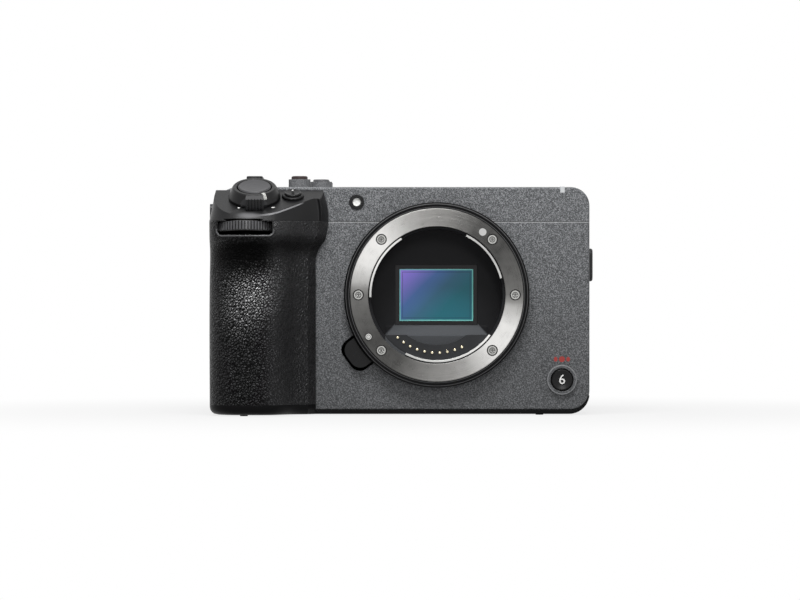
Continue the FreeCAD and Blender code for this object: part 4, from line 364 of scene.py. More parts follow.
def gripLeather():
    look = Look("gripLeather", Specular_IOR_Level=0.8)
    spot = look.warped(leather["warpPerMm"], leather["warp"])
    beside = look.vector("ADD", spot, leather["litSide"])
    dome, domeBeside = (pebbleHeight(look, where) for where in (spot, beside))
    fold = look.noise(leather["foldPerMm"], vector=spot)
    fine = look.noise(leather["finePerMm"])
    height = (dome * leather["domeHeight"] + fold * leather["foldHeight"]
              + fine * leather["fineHeight"])
    # painted light: the upper side of each pebble is painted lighter and the gaps between them
    # darker, as light from above would shade them
    paintedEmboss = (dome * leather["domeSheen"] + (dome - domeBeside) * leather["sideSheen"]
           + fold.swing(leather["foldSheen"]))
    paintedGleam = paintedEmboss.smooth(*leather["paleAndSheen"])
    colour = look.mix(paintedGleam, leather["valley"], leather["crest"])
    front = look.y < leather["frontY"]
    # painted highlight on the palm swell, where the light reflects
    up = look.z - palm["z"]
    away = look.radius((look.x - palm["x"] - up * palm["lean"]) / palm["wide"], up / palm["tall"])
    shine = away.maths("EXPONENT", away * away * -0.5) * front
    # painted shade: the finger hollow is painted dark, and so is the leather under the hood's eave
    dark = look.z.smooth(*hollowShade["foot"]) * (1 - look.z.smooth(*hollowShade["top"]))
    dark = dark * (1 - look.x.smooth(*hollowShade["right"]))
    under = look.z.smooth(*eaveShade["foot"]) * (1 - look.z.smooth(*eaveShade["top"]))
    under = under * look.x.smooth(*eaveShade["left"]) * eaveShade["share"]
    dark = ((dark + under) * front).within()
    # painted light: the right flank and the top of the shoulder are painted lighter, as the light
    # from the right and from above falls there
    side = look.x.smooth(*flankLit["x"]) * flankLit["share"]
    colour = look.mix(side, colour, flankLit["colour"])
    top = look.z.smooth(*shoulderLit["z"]) * look.x.smooth(*shoulderLit["x"])
    colour = look.mix(top * shoulderLit["share"], colour, shoulderLit["colour"])
    colour = look.mix(shine * paintedGleam, colour, palm["paintedHighlight"])
    colour = look.mix(dark * hollowShade["share"], colour, hollowShade["colour"])
    # the metallic share takes the white gloss away, so that only where the highlights are painted
    # does the leather shine
    gloss = paintedGleam * (leather["gloss"] + shine * palm["gloss"]) * (1 - dark)
    dull = (leather["dull"] - gloss - side * flankLit["gloss"]).within()
    rough = leather["roughness"] - shine * palm["smoother"] - paintedGleam * leather["smoother"]
    rough = rough + fine.swing(leather["fineRough"])
    return look.finish(leather["edge"], height, leather["bump"], Base_Color=colour, Roughness=rough,
                       Metallic=dull)


# Black mouldings, buttons and dials

moulding = {"broadPerMm": 0.12, "broadShare": 0.5, "patches": (0.3, 0.7), "deep": 0.72,
            "broadRough": 0.12, "grainRough": 0.1}


def blackMoulding(name, colour, roughness, perMm=6.0, depth=0.012, edge=0.25, gloss=0.14):
    look = Look(name, Specular_IOR_Level=gloss)
    grain = look.noise(perMm)
    broad = look.noise(moulding["broadPerMm"])
    patches = broad * moulding["broadShare"] + grain * (1 - moulding["broadShare"])
    tone = look.tone(patches.smooth(*moulding["patches"]), moulding["deep"], colour)
    rough = roughness + broad.swing(moulding["broadRough"]) + grain.swing(moulding["grainRough"])
    return look.finish(edge, grain, depth, Base_Color=tone, Roughness=rough)


hood = {"colour": shade(20, 20, 21), "tilt": 25.5, "edgeY": -37.6, "edgeZ": 67.8,
        "grainPerMm": 4.5, "broadPerMm": 0.1, "broadShare": 0.6, "deep": 0.7, "bump": 0.03,
        "edge": 0.35, "roughness": 0.34, "broadRough": 0.1, "grainRough": 0.12}
rimHighlight = {"colour": shade(128, 128, 130), "top": -0.04, "foot": -0.42, "left": (-62, -54),
           "right": (-46, -44), "share": 0.9}
noseHighlight = {"colour": shade(112, 112, 114), "x": -62.5, "z": 66.3, "wide": 5.5, "tall": 1.5,
            "fade": (0.1, 1.0), "frontY": -33, "share": 0.8, "smoother": 0.08}


def deckHeight(look):
    # how far a point lies above the hood's tilted deck
    tilt = math.radians(hood["tilt"])
    return (look.z - hood["edgeZ"]) * math.cos(tilt) - (look.y - hood["edgeY"]) * math.sin(tilt)


def hoodMoulding():
    look = Look("hoodMoulding", Specular_IOR_Level=0.18)
    grain = look.noise(hood["grainPerMm"], 3.0)
    broad = look.noise(hood["broadPerMm"])
    patches = broad * hood["broadShare"] + grain * (1 - hood["broadShare"])
    colour = look.tone(patches, hood["deep"], hood["colour"])
    # painted highlights: the nose over the dial and the rim of the deck are painted paler, where
    # their rounded edges catch the light
    away = look.radius((look.x - noseHighlight["x"]) / noseHighlight["wide"],
                       (look.z - noseHighlight["z"]) / noseHighlight["tall"])
    nose = 1 - away.smooth(*noseHighlight["fade"])
    paintedNoseHighlight = nose * (look.y < noseHighlight["frontY"])
    colour = look.mix(paintedNoseHighlight * noseHighlight["share"], colour, noseHighlight["colour"])
    high = deckHeight(look)
    rim = (high < rimHighlight["top"]) * (high > rimHighlight["foot"])
    rim = rim * look.x.smooth(*rimHighlight["left"]) * (1 - look.x.smooth(*rimHighlight["right"]))
    colour = look.mix(rim * rimHighlight["share"], colour, rimHighlight["colour"])
    rough = hood["roughness"] + broad.swing(hood["broadRough"]) + grain.swing(hood["grainRough"])
    rough = rough - nose * noseHighlight["smoother"]
    return look.finish(hood["edge"], grain, hood["bump"], Base_Color=colour, Roughness=rough)


lever = {"colour": shade(15, 15, 16), "deep": 0.7, "x": -61.0, "back": 9.7, "grainPerMm": 8.0,
         "bump": 0.006, "edge": 0.3, "roughness": 0.26, "grainRough": 0.1,
         "mark": shade(184, 184, 181), "markAngle": -60.6,
         "markInner": 6.1, "markHalf": 0.55, "markHigh": 2.6,
         "tab": shade(40, 40, 42), "tabStart": -7.2, "tabHalf": 4.5, "tabShare": 0.8}


def leverMoulding():
    # glossy black, with one pale index on its rim and a paler tab
    look = Look("leverMoulding", Specular_IOR_Level=0.25)
    tilt = math.radians(hood["tilt"])
    angle = math.radians(lever["markAngle"])
    across = look.x - lever["x"]
    along = (look.y - hood["edgeY"]) * math.cos(tilt) + (look.z - hood["edgeZ"]) * math.sin(tilt)
    along = along - lever["back"] / math.cos(tilt)
    outward = across * math.cos(angle) + along * math.sin(angle)
    sideways = along * math.cos(angle) - across * math.sin(angle)
    grain = look.noise(lever["grainPerMm"])
    colour = look.tone(grain, lever["deep"], lever["colour"])
    tab = (along < lever["tabStart"]) * (abs(across) < lever["tabHalf"])
    colour = look.mix(tab * lever["tabShare"], colour, lever["tab"])
    mark = (outward > lever["markInner"]) * (abs(sideways) < lever["markHalf"])
    colour = look.mix(mark * (deckHeight(look) > lever["markHigh"]), colour, lever["mark"])
    rough = lever["roughness"] + grain * lever["grainRough"]
    return look.finish(lever["edge"], grain, lever["bump"], Base_Color=colour, Roughness=rough)


frontDial = {"x": -63.7, "y": -32.4, "z": 62.1, "lean": 6.0, "ribHighlight": shade(72, 72, 74),
             "gap": shade(7, 7, 7), "gapEnd": 9.78, "ribStart": 9.96, "grainPerMm": 7.0,
             "bump": 0.006, "edge": 0.12, "roughness": 0.24, "grainRough": 0.1}


def frontDialMoulding():
    # painted highlights on the ribs, and painted shade in the gaps between them
    look = Look("frontDialBlack", Specular_IOR_Level=0.4)
    lean = math.radians(frontDial["lean"])
    along = (look.y - frontDial["y"]) * math.cos(lean) - (look.z - frontDial["z"]) * math.sin(lean)
    away = look.radius(look.x - frontDial["x"], along)
    grain = look.noise(frontDial["grainPerMm"])
    ribHighlight = away.smooth(frontDial["gapEnd"], frontDial["ribStart"])
    colour = look.mix(ribHighlight, frontDial["gap"], frontDial["ribHighlight"])
    return look.finish(frontDial["edge"], grain, frontDial["bump"], Base_Color=colour,
                       Roughness=frontDial["roughness"] + grain * frontDial["grainRough"])


# Mount: turned steel ring with its screws, claws and pin, on a black base ring

ring = {"z": 40.0, "groovesPerMm": 9.0, "wearPerMm": 0.35, "bump": 0.02, "edge": 0.2,
        "roughness": 0.3, "roughSwing": 0.1, "streakTone": 0.14, "wearTone": 0.08, "tarnish": 0.2,
        "tones": ((0.08, shade(46, 46, 45)), (0.5, shade(134, 133, 131)),
                  (0.9, shade(222, 221, 219))),
        "fan": ((0.0, 0.3), (0.08, 0.23), (0.2, 0.14), (0.33, 0.16), (0.4, 0.28), (0.48, 0.42),
                (0.62, 0.56), (0.76, 0.87), (0.87, 0.85), (0.95, 0.62), (1.0, 0.32))}
screws = {"circle": 26.3, "apart": 45, "noneWithin": 8, "well": 1.85,
          "wellShadow": shade(34, 34, 34), "head": 1.6, "wearPerMm": 1.5, "bump": 0.01,
          "edge": 0.12, "roughness": 0.26, "roughSwing": 0.2,
          "rings": ((0.0, shade(70, 70, 69)), (0.4, shade(156, 156, 154)), (0.6, shade(60, 60, 59)),
                    (0.74, shade(196, 196, 193)), (0.96, shade(120, 120, 118)))}
claws = {"frontY": -25.4, "face": 22.6, "step": 23.1, "faceHighlight": shade(236, 236, 234), "share": 0.55,
         "black": shade(20, 20, 20)}
pin = {"x": -22.85, "z": 26.0, "radius": 1.1, "wearPerMm": 1.5, "bump": 0.01, "edge": 0.15,
       "roughness": 0.24, "roughSwing": 0.2,
       "rings": ((0.0, shade(150, 150, 148)), (0.3, shade(222, 222, 219)),
                 (0.55, shade(92, 92, 91)), (0.78, shade(222, 222, 219)),
                 (0.97, shade(70, 70, 69)))}
baseRing = {"dark": shade(6, 6, 7), "light": shade(13, 13, 14), "line": shade(92, 92, 93),
            "lines": ((29.45, 0.1), (30.5, 0.12)), "lineShare": 0.75, "grainPerMm": 7.0,
            "bump": 0.008, "edge": 0.3, "roughness": 0.3, "grainRough": 0.1}


def screwDistance(look, up, radius):
    # distance from the nearest screw's axis: all six stand on multiples of 45 degrees
    apart = math.radians(screws["apart"])
    turn = up.maths("PINGPONG", up.maths("ARCTAN2", up, look.x) / apart, 0.5) * apart
    chord = 2 * screws["circle"] * radius * (1 - turn.maths("COSINE", turn))
    return ((radius - screws["circle"]) ** 2 + chord) ** 0.5


def ringSteel():
    look = Look("ringSteel")
    up = look.z - ring["z"]
    radius = look.radius(look.x, up)
    # painted reflection: the turned face is painted as if it throws light back in two opposite
    # fans, each with one soft and one sharp side
    halfTurn = up.maths("ARCTAN2", up, look.x) / math.pi
    halfTurn = up.maths("FRACT", halfTurn + 1)
    fan = halfTurn.ramp(*((position, (level, level, level)) for position, level in ring["fan"]))
    grooves = {"W": radius, "Scale": ring["groovesPerMm"]}
    streak = look.add("ShaderNodeTexNoise", {"noise_dimensions": "1D"}, grooves, "Fac")
    wear = look.noise(ring["wearPerMm"], 3.0)
    tone = (fan + streak.swing(ring["streakTone"]) + wear.swing(ring["wearTone"])).within()
    colour = tone.ramp(*ring["tones"])
    # each screw stands in a well with painted shadow; there is none at the top and bottom
    well = (screwDistance(look, up, radius) < screws["well"]) * (abs(look.x) > screws["noneWithin"])
    colour = look.mix(well, colour, screws["wellShadow"])
    # claws: a painted highlight on the face, inside a step painted dark as painted shade
    deep = look.y > claws["frontY"]
    colour = look.mix(deep * (radius < claws["face"]) * claws["share"], colour, claws["faceHighlight"])
    step = deep * (radius > claws["face"]) * (radius < claws["step"])
    colour = look.mix(step, colour, claws["black"])
    rough = ring["roughness"] + wear.swing(ring["roughSwing"]) + streak.swing(ring["roughSwing"])
    return look.finish(ring["edge"], streak, ring["bump"], Base_Color=colour, Roughness=rough,
                       Metallic=1 - wear * ring["tarnish"])


def turnedSteel(look, settings, share):
    # bright steel with turned rings whose bright and dark bands are painted highlights and shade;
    # share is 0 at its middle and 1 at its rim
    colour = share.ramp(*settings["rings"])
    wear = look.noise(settings["wearPerMm"], 3.0)
    rough = settings["roughness"] + wear.swing(settings["roughSwing"])
    return look.finish(settings["edge"], wear, settings["bump"], Base_Color=colour, Roughness=rough)


def screwSteel():
    look = Look("screwSteel", Metallic=1.0)
    up = look.z - ring["z"]
    away = screwDistance(look, up, look.radius(look.x, up))
    return turnedSteel(look, screws, away / screws["head"])


def pinSteel():
    look = Look("pinSteel", Metallic=1.0)
    away = look.radius(look.x - pin["x"], look.z - pin["z"])
    return turnedSteel(look, pin, away / pin["radius"])


def baseRingBlack():
    look = Look("baseRingBlack", Specular_IOR_Level=0.07)
    radius = look.radius(look.x, look.z - ring["z"])
    grain = look.noise(baseRing["grainPerMm"])
    colour = look.mix(grain, baseRing["dark"], baseRing["light"])
    inner, outer = (abs(radius - far) < half for far, half in baseRing["lines"])
    colour = look.mix((inner + outer).within() * baseRing["lineShare"], colour, baseRing["line"])
    return look.finish(baseRing["edge"], grain, baseRing["bump"], Base_Color=colour,
                       Roughness=baseRing["roughness"] + grain * baseRing["grainRough"])


metals = {"wearPerMm": 1.2, "patches": (0.3, 0.7), "deep": 0.86, "roughSwing": 0.2, "edge": 0.2,
          "bump": 0.01}


def metal(name, colour, roughness):
    look = Look(name, Metallic=1.0)
    wear = look.noise(metals["wearPerMm"], 4.0)
    tone = look.tone(wear.smooth(*metals["patches"]), metals["deep"], colour)
    rough = roughness + wear.swing(metals["roughSwing"])
    return look.finish(metals["edge"], wear, metals["bump"], Base_Color=tone, Roughness=rough)


# Behind the mount: a chamber whose sloped floor is painted paler as painted light, and the sensor

chamber = {"wall": shade(30, 30, 32), "ramp": shade(79, 81, 84), "dust": shade(18, 18, 19),
           "rampTop": 30.4, "rampHalf": 13.9, "flare": 0.97, "rampMost": 17.3, "grainPerMm": 3.0,
           "dustShare": 0.3, "bump": 0.02, "edge": 0.25, "roughness": 0.5, "dustRough": 0.15}


def chamberPlastic():
    look = Look("chamberPlastic", Specular_IOR_Level=0.14)
    grain = look.noise(chamber["grainPerMm"])
    # painted light: the sloped floor is painted paler, as it faces up into the light
    drop = chamber["rampTop"] - look.z
    wide = abs(look.x) - drop * chamber["flare"] < chamber["rampHalf"]
    ramp = (drop > 0) * wide * (abs(look.x) < chamber["rampMost"])
    colour = look.mix(ramp, chamber["wall"], chamber["ramp"])
    colour = look.mix(grain * chamber["dustShare"], colour, chamber["dust"])
    rough = chamber["roughness"] + grain * chamber["dustRough"]
    return look.finish(chamber["edge"], grain, chamber["bump"], Base_Color=colour, Roughness=rough)


# left, wide, low and high are the glass; its coating goes from violet, top left, to teal
sensor = {"left": -12.5, "wide": 25.0, "low": 31.2, "high": 17.6, "glassY": -9.2,
          "coating": ((0.06, shade(170, 142, 255)), (0.48, shade(76, 112, 172)),
                      (0.74, shade(52, 102, 128)), (1.0, shade(26, 102, 116))),
          "across": 0.88, "down": 0.6, "drift": 0.12, "driftPerMm": 0.09,
          "border": shade(128, 214, 204), "borderWide": 0.4, "borderShare": 0.75,
          "line": shade(20, 40, 60), "lineOuter": 0.9, "lineInner": 1.15, "lineShare": 0.5,
          "side": shade(26, 26, 28), "slack": 0.02, "edge": 0.1, "roughness": 0.16,
          "driftRough": 0.05}


def sensorGlass():
    look = Look("sensorGlass", Specular_IOR_Level=0.3, Emission_Strength=0.2)
    u = (look.x - sensor["left"]) / sensor["wide"]
    v = (look.z - sensor["low"]) / sensor["high"]
    drift = look.noise(sensor["driftPerMm"], 1.0) - 0.5
    glow = u * sensor["across"] + (1 - v) * sensor["down"] + drift * sensor["drift"]
    colour = glow.ramp(*sensor["coating"])
    # how far in from the nearest edge of the glass a point lies
    across = (abs(u - 0.5) - 0.5) * -sensor["wide"]
    upward = (abs(v - 0.5) - 0.5) * -sensor["high"]
    inset = across.maths("MINIMUM", across, upward)
    border = (inset < sensor["borderWide"]) * (inset > 0.0)
    colour = look.mix(border * sensor["borderShare"], colour, sensor["border"])
    line = (inset < sensor["lineInner"]) * (inset > sensor["lineOuter"])
    colour = look.mix(line * sensor["lineShare"], colour, sensor["line"])
    front = (look.y < sensor["glassY"]) * (inset > -sensor["slack"])
    # painted light: the front of the glass glows with the coating's colours, though it is no lamp
    paintedGleam = look.mix(front, shade(0, 0, 0), colour)
    colour = look.mix(front, sensor["side"], colour)
    return look.finish(sensor["edge"], Base_Color=colour, Emission_Color=paintedGleam,
                       Roughness=sensor["roughness"] + drift * sensor["driftRough"])


# Windows, screen and what shows through the doors

windows = {"lampX": -26.9, "lampZ": 71.2, "lens": 1.32, "bezel": shade(9, 9, 10),
           "dark": shade(206, 206, 204), "light": shade(238, 238, 236),
           "tallyX": 30, "tally": shade(196, 198, 200), "frostPerMm": 2.0, "frostRough": 0.2,
           "edge": 0.15, "roughness": 0.2}


def lampWindows():
    look = Look("lampWindows", Specular_IOR_Level=0.25)
    frost = look.noise(windows["frostPerMm"])
    pale = look.mix(frost, windows["dark"], windows["light"])
    away = look.radius(look.x - windows["lampX"], look.z - windows["lampZ"])
    colour = look.mix(away < windows["lens"], windows["bezel"], pale)
    colour = look.mix(look.x > windows["tallyX"], colour, windows["tally"])
    return look.finish(windows["edge"], Base_Color=colour,
                       Roughness=windows["roughness"] + frost * windows["frostRough"])


enamel = {"grainPerMm": 4.0, "deep": 0.86, "bump": 0.01, "roughness": 0.35, "grainRough": 0.15}


def plainEnamel(name, colour):
    look = Look(name)
    grain = look.noise(enamel["grainPerMm"])
    tone = look.tone(grain, enamel["deep"], colour)
    rough = enamel["roughness"] + grain * enamel["grainRough"]
    return look.finish(height=grain, depth=enamel["bump"], Base_Color=tone, Roughness=rough)


screen = {"dark": shade(9, 9, 11), "light": shade(13, 14, 18), "smearsPerMm": 0.1,
          "patches": (0.4, 0.7), "roughness": 0.06, "smearRough": 0.12, "coat": 0.1,
          "smearCoat": 0.2}


def screenGlass():
    look = Look("screenGlass", Specular_IOR_Level=0.25, Coat_Roughness=0.03)
    smear = look.noise(screen["smearsPerMm"], 3.0)
    colour = look.mix(smear.smooth(*screen["patches"]), screen["dark"], screen["light"])
    rough = screen["roughness"] + smear * screen["smearRough"]
    return look.finish(Base_Color=colour, Roughness=rough,
                       Coat_Weight=screen["coat"] + smear * screen["smearCoat"])


board = {"green": shade(24, 74, 44), "track": shade(46, 116, 70), "tracksPerMm": 0.9,
         "trackWide": 0.06, "chip": shade(26, 26, 28), "chipY": 17.75, "bump": 0.02, "edge": 0.1,
         "roughness": 0.45, "smearsPerMm": 2.0, "smearRough": 0.1}


def circuitBoard():
    look = Look("circuitBoard")
    tracks = look.cells(board["tracksPerMm"], "DISTANCE_TO_EDGE") < board["trackWide"]
    colour = look.mix(tracks, board["green"], board["track"])
    colour = look.mix(look.y > board["chipY"], colour, board["chip"])
    rough = board["roughness"] + look.noise(board["smearsPerMm"]) * board["smearRough"]
    return look.finish(board["edge"], tracks, board["bump"], Base_Color=colour, Roughness=rough)


cases = {"specksPerMm": 3.0, "patches": (0.35, 0.65), "deep": 0.8, "roughSwing": 0.2, "edge": 0.2,
         "bump": 0.02}


def wornCase(name, colour, roughness):
    look = Look(name)
    speck = look.noise(cases["specksPerMm"], 3.0)
    tone = look.tone(speck.smooth(*cases["patches"]), cases["deep"], colour)
    rough = roughness + speck.swing(cases["roughSwing"])
    return look.finish(cases["edge"], speck, cases["bump"], Base_Color=tone, Roughness=rough)


topCap = {"roughness": 0.36, "perMm": 5.0, "depth": 0.01, "edge": 0.2, "gloss": 0.3}
looks = {
    "cover_paint": coverPaint(),
    "base_paint": blackMoulding("basePaint", shade(10, 10, 11), 0.4, gloss=0.07),
    "grip_rubber": gripLeather(),
    "hood_plastic": hoodMoulding(),
    "inner_plastic": blackMoulding("innerPlastic", shade(24, 24, 25), 0.6, perMm=3.0),
    "mount_steel": ringSteel(),
    "mount_black": baseRingBlack(),
    "dark_steel": metal("darkSteel", shade(112, 112, 114), 0.34),
    "bush_steel": metal("bushSteel", shade(186, 186, 184), 0.3),
    "white_mark": plainEnamel("whiteMark", shade(232, 232, 230)),
    "gold": metal("contactGold", shade(236, 226, 196), 0.24),
    "frame_alloy": metal("frameAlloy", shade(150, 152, 155), 0.42),
    "board_green": circuitBoard(),
    "button_black": blackMoulding("buttonBlack", shade(18, 18, 19), 0.28, perMm=9.0, depth=0.004,
                                  edge=0.2, gloss=0.2),
    "dial_black": blackMoulding("dialBlack", shade(20, 20, 21), 0.3, perMm=7.0, depth=0.006,
                                edge=0.12, gloss=0.3),
    "record_red": plainEnamel("recordRed", shade(146, 40, 34)),
    "screen_plastic": blackMoulding("screenPlastic", shade(28, 28, 30), 0.42),
    "screen_glass": screenGlass(),
    "sensor_glass": sensorGlass(),
    "lamp_clear": lampWindows(),
    "battery_grey": wornCase("batteryCase", shade(84, 84, 88), 0.5),
    "card_blue": wornCase("cardCase", shade(52, 60, 100), 0.4),
    "port_black": wornCase("portBlock", shade(40, 40, 41), 0.5),
}
# nodes whose finish differs from the rest of their slot
special = {
    "mount_screws": screwSteel(),
    "lock_pin": pinSteel(),
    "front_dial": frontDialMoulding(),
    "contact_block": blackMoulding("contactPlastic", shade(48, 49, 51), 0.5, perMm=3.0),
    "mount_index_dot": plainEnamel("indexGrey", shade(190, 190, 189)),
    "light_box": chamberPlastic(),
    "zoom_lever": leverMoulding(),
    "shutter_button": blackMoulding("shutterCap", shade(62, 62, 64), 0.42, perMm=7.0, depth=0.01,
                                    edge=0.3, gloss=0.3),
    "top_rec_button": blackMoulding("topRecordCap", shade(56, 44, 43), **topCap),
    "iris_button": blackMoulding("irisCap", shade(94, 94, 96), **topCap),
    "white_balance_button": blackMoulding("whiteCap", shade(94, 94, 96), **topCap),
    "button_collars": collarPaint(),
    "strap_lugs": blackMoulding("lugBlack", shade(40, 40, 42), 0.34, perMm=5.0, depth=0.01,
                                edge=0.3, gloss=0.25),
}
for row in frame["record"]["subparts"]:
    node = nodes[row["node"]]
    node.data.materials.clear()
    node.data.materials.append(special.get(row["node"], looks[row["material_slot"]]))
print("finishes made:", len(looks) + len(special))


# Grip, hood and base: merged, smooth-shaded copies of nodes whose own facets would show

smoothNodes = {
    "grip_skin": {"piece": "gripSkin", "slot": "grip_rubber", "sharp": 38},
    "grip_hood": {"piece": "gripHood", "slot": "hood_plastic", "sharp": 30},
    "base_plate": {"piece": "basePlate", "slot": "base_paint", "sharp": 30},
}
mergeWithin = 0.003


def smoothCopy(nodeName, sharpAngle):
    deselectAll()
    piece = nodes[nodeName].copy()
    piece.data = nodes[nodeName].data.copy()
    piece.parent = None
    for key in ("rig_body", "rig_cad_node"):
        del piece[key]
    bpy.context.scene.collection.objects.link(piece)
    pick(piece)
    bpy.ops.mesh.customdata_custom_splitnormals_clear()
    editAll()
    bpy.ops.mesh.remove_doubles(threshold=mergeWithin * mm)
    editDone()
    bpy.ops.object.shade_smooth_by_angle(angle=math.radians(sharpAngle))
    return piece


def smoothPieces():
    made = {}
    for nodeName, row in smoothNodes.items():
        piece = smoothCopy(nodeName, row["sharp"])
        made[nodeName] = hand(piece, row["piece"], looks[row["slot"]], "camera_body")
        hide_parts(nodeName)
    return made


# the thin bright lip under the front dial's slot: it starts in front of the grip and is laid on it
lip = {"left": -73.2, "right": -54.2, "low": 59.6, "high": 61.9, "startY": -60, "round": 1.7,
       "roundSteps": 6, "cuts": 5, "thick": 0.27, "thickSteps": 3, "proud": 0.02, "near": 0.1,
       "colour": shade(84, 84, 86), "roughness": 0.24, "bump": 0.004, "edge": 0.1, "gloss": 0.5}


def dialLip(skin):
    deselectAll()
    bpy.ops.mesh.primitive_plane_add(size=1, location=(0, 0, 0))
    wire = bpy.context.object
    middle = ((lip["left"] + lip["right"]) / 2, lip["startY"], (lip["low"] + lip["high"]) / 2)
    wide, tall = (lip["right"] - lip["left"]) * mm, (lip["high"] - lip["low"]) * mm
    settle(wire, shifted(*middle) @ turned(90, "X") @ Matrix.Diagonal((wide, tall, 1, 1)))
    editAll()
    bpy.ops.mesh.delete(type="ONLY_FACE")
    editDone()
    # the top edge goes, which leaves a U
    topZ = (lip["high"] - lip["near"]) * mm
    for edge in wire.data.edges:
        edge.select = all(wire.data.vertices[i].co.z > topZ for i in edge.vertices)
    bpy.ops.object.mode_set(mode="EDIT")
    bpy.ops.mesh.select_mode(type="EDGE")
    bpy.ops.mesh.delete(type="EDGE")
    editDone()
    for vertex in wire.data.vertices:
        vertex.select = vertex.co.z < (lip["low"] + lip["near"]) * mm
    bpy.ops.object.mode_set(mode="EDIT")
    bpy.ops.mesh.select_mode(type="VERT")
    bpy.ops.mesh.bevel(offset=lip["round"] * mm, segments=lip["roundSteps"], affect="VERTICES")
    bpy.ops.mesh.select_all(action="SELECT")
    bpy.ops.mesh.subdivide(number_cuts=lip["cuts"])
    editDone()
    lay = wire.modifiers.new("lay", "SHRINKWRAP")
    lay.wrap_method = "PROJECT"
    lay.use_project_y = True
    lay.use_positive_direction = True
    lay.use_negative_direction = False
    lay.target = skin
    lay.offset = lip["proud"] * mm
    bpy.ops.object.modifier_apply(modifier="lay")
    bpy.ops.object.convert(target="CURVE")
    wire.data.bevel_depth = lip["thick"] * mm
    wire.data.bevel_resolution = lip["thickSteps"]
    wire.data.use_fill_caps = True
    bpy.ops.object.convert(target="MESH")
    wire = bpy.context.object
    bpy.ops.object.shade_smooth()
    gloss = blackMoulding("lipGloss", lip["colour"], lip["roughness"], depth=lip["bump"],
                          edge=lip["edge"], gloss=lip["gloss"])
    return hand(wire, "dialLip", gloss, "camera_body")


# dark walls before and behind the main board: open doors don't show daylight through the body
wall = {"x": -38.0, "thick": 0.8, "low": 5.0, "high": 61.0, "soften": 0.15, "softenSteps": 2,
        "depths": {"Front": (9.6, 15.8), "Rear": (19.2, 27.2)}}


def innerWalls():
    for side, (front, back) in wall["depths"].items():
        deselectAll()
        bpy.ops.mesh.primitive_cube_add(size=mm, location=(0, 0, 0))
        piece = bpy.context.object
        middle = (wall["x"], (front + back) / 2, (wall["low"] + wall["high"]) / 2)
        size = (wall["thick"], back - front, wall["high"] - wall["low"], 1)
        settle(piece, shifted(*middle) @ Matrix.Diagonal(size))
        editAll()
        bpy.ops.mesh.bevel(offset=wall["soften"] * mm, segments=wall["softenSteps"])
        editDone()
        hand(piece, f"innerWall{side}", looks["inner_plastic"], "camera_body")


smoothMade = smoothPieces()
dialLip(smoothMade["grip_skin"])
innerWalls()
print("grip and inner walls made")


# Printed marks

facing = {
    "front": turned(90, "X"),
    "rear": turned(180, "Z") @ turned(90, "X"),
    "top": turned(180, "Z"),
    "deck": turned(hood["tilt"], "X"),
}
marks = {"thick": 0.05, "textThick": 0.02, "corners": 28, "digitY": -23.41, "digitTall": 4.6,
         "recordY": -22, "recordZ": 18.4, "recordApart": 2.1, "recordRadius": 1.0,
         "recordBar": (0.62, 0.8), "topTall": 2.6, "iris": (-33.6, -3, 76.3),
         "white": (-33.6, 9, 76.3), "power": (-61.8, -9.4, 76.3), "powerRadius": 0.5,
         "play": (-38, 33, 17.6), "playRadius": 0.9, "playSpin": -90,
         "wide": (-66.0, 2.6), "near": (-54.6, 2.9), "nearStretch": (1.5, 0.8),
         "zoomRadius": 0.42, "iso": (-48.3, 13.4, 1.66), "isoRadius": 0.36}


def at(x, y, z, side, spin=0.0):
    return shifted(x, y, z) @ facing[side] @ turned(spin, "Z")


def onDeck(x, back, proud=0.0):
    # a place on the tilted deck, back from its front edge and proud of its face
    tilt = math.radians(hood["tilt"])
    y = hood["edgeY"] + back * math.cos(tilt) - proud * math.sin(tilt)
    z = hood["edgeZ"] + back * math.sin(tilt) + proud * math.cos(tilt)
    return at(x, y, z, "deck")


def printedText(name, words, tall, place, body="camera_body"):
    deselectAll()
    bpy.ops.object.text_add()
    text = bpy.context.object
    text.data.body = words
    text.data.size = tall * mm
    text.data.extrude = marks["textThick"] * mm
    text.data.align_x = "CENTER"
    text.data.align_y = "CENTER"
    bpy.ops.object.convert(target="MESH")
    text = bpy.context.object
    settle(text, place)
    return hand(text, name, looks["white_mark"], body)


def printedDot(name, radius, place, body="camera_body", slotName="white_mark", stretch=(1, 1),
               corners=marks["corners"]):
    deselectAll()
    bpy.ops.mesh.primitive_circle_add(vertices=corners, radius=radius * mm, fill_type="NGON",
                                      enter_editmode=True)
    bpy.ops.transform.resize(value=(*stretch, 1))
    up = (0, 0, marks["thick"] * mm)
    bpy.ops.mesh.extrude_region_move(TRANSFORM_OT_translate={"value": up})
    bpy.ops.mesh.select_all(action="SELECT")
    bpy.ops.mesh.normals_make_consistent(inside=False)
    editDone()
    dot = bpy.context.object
    settle(dot, place)
    return hand(dot, name, looks[slotName], body)


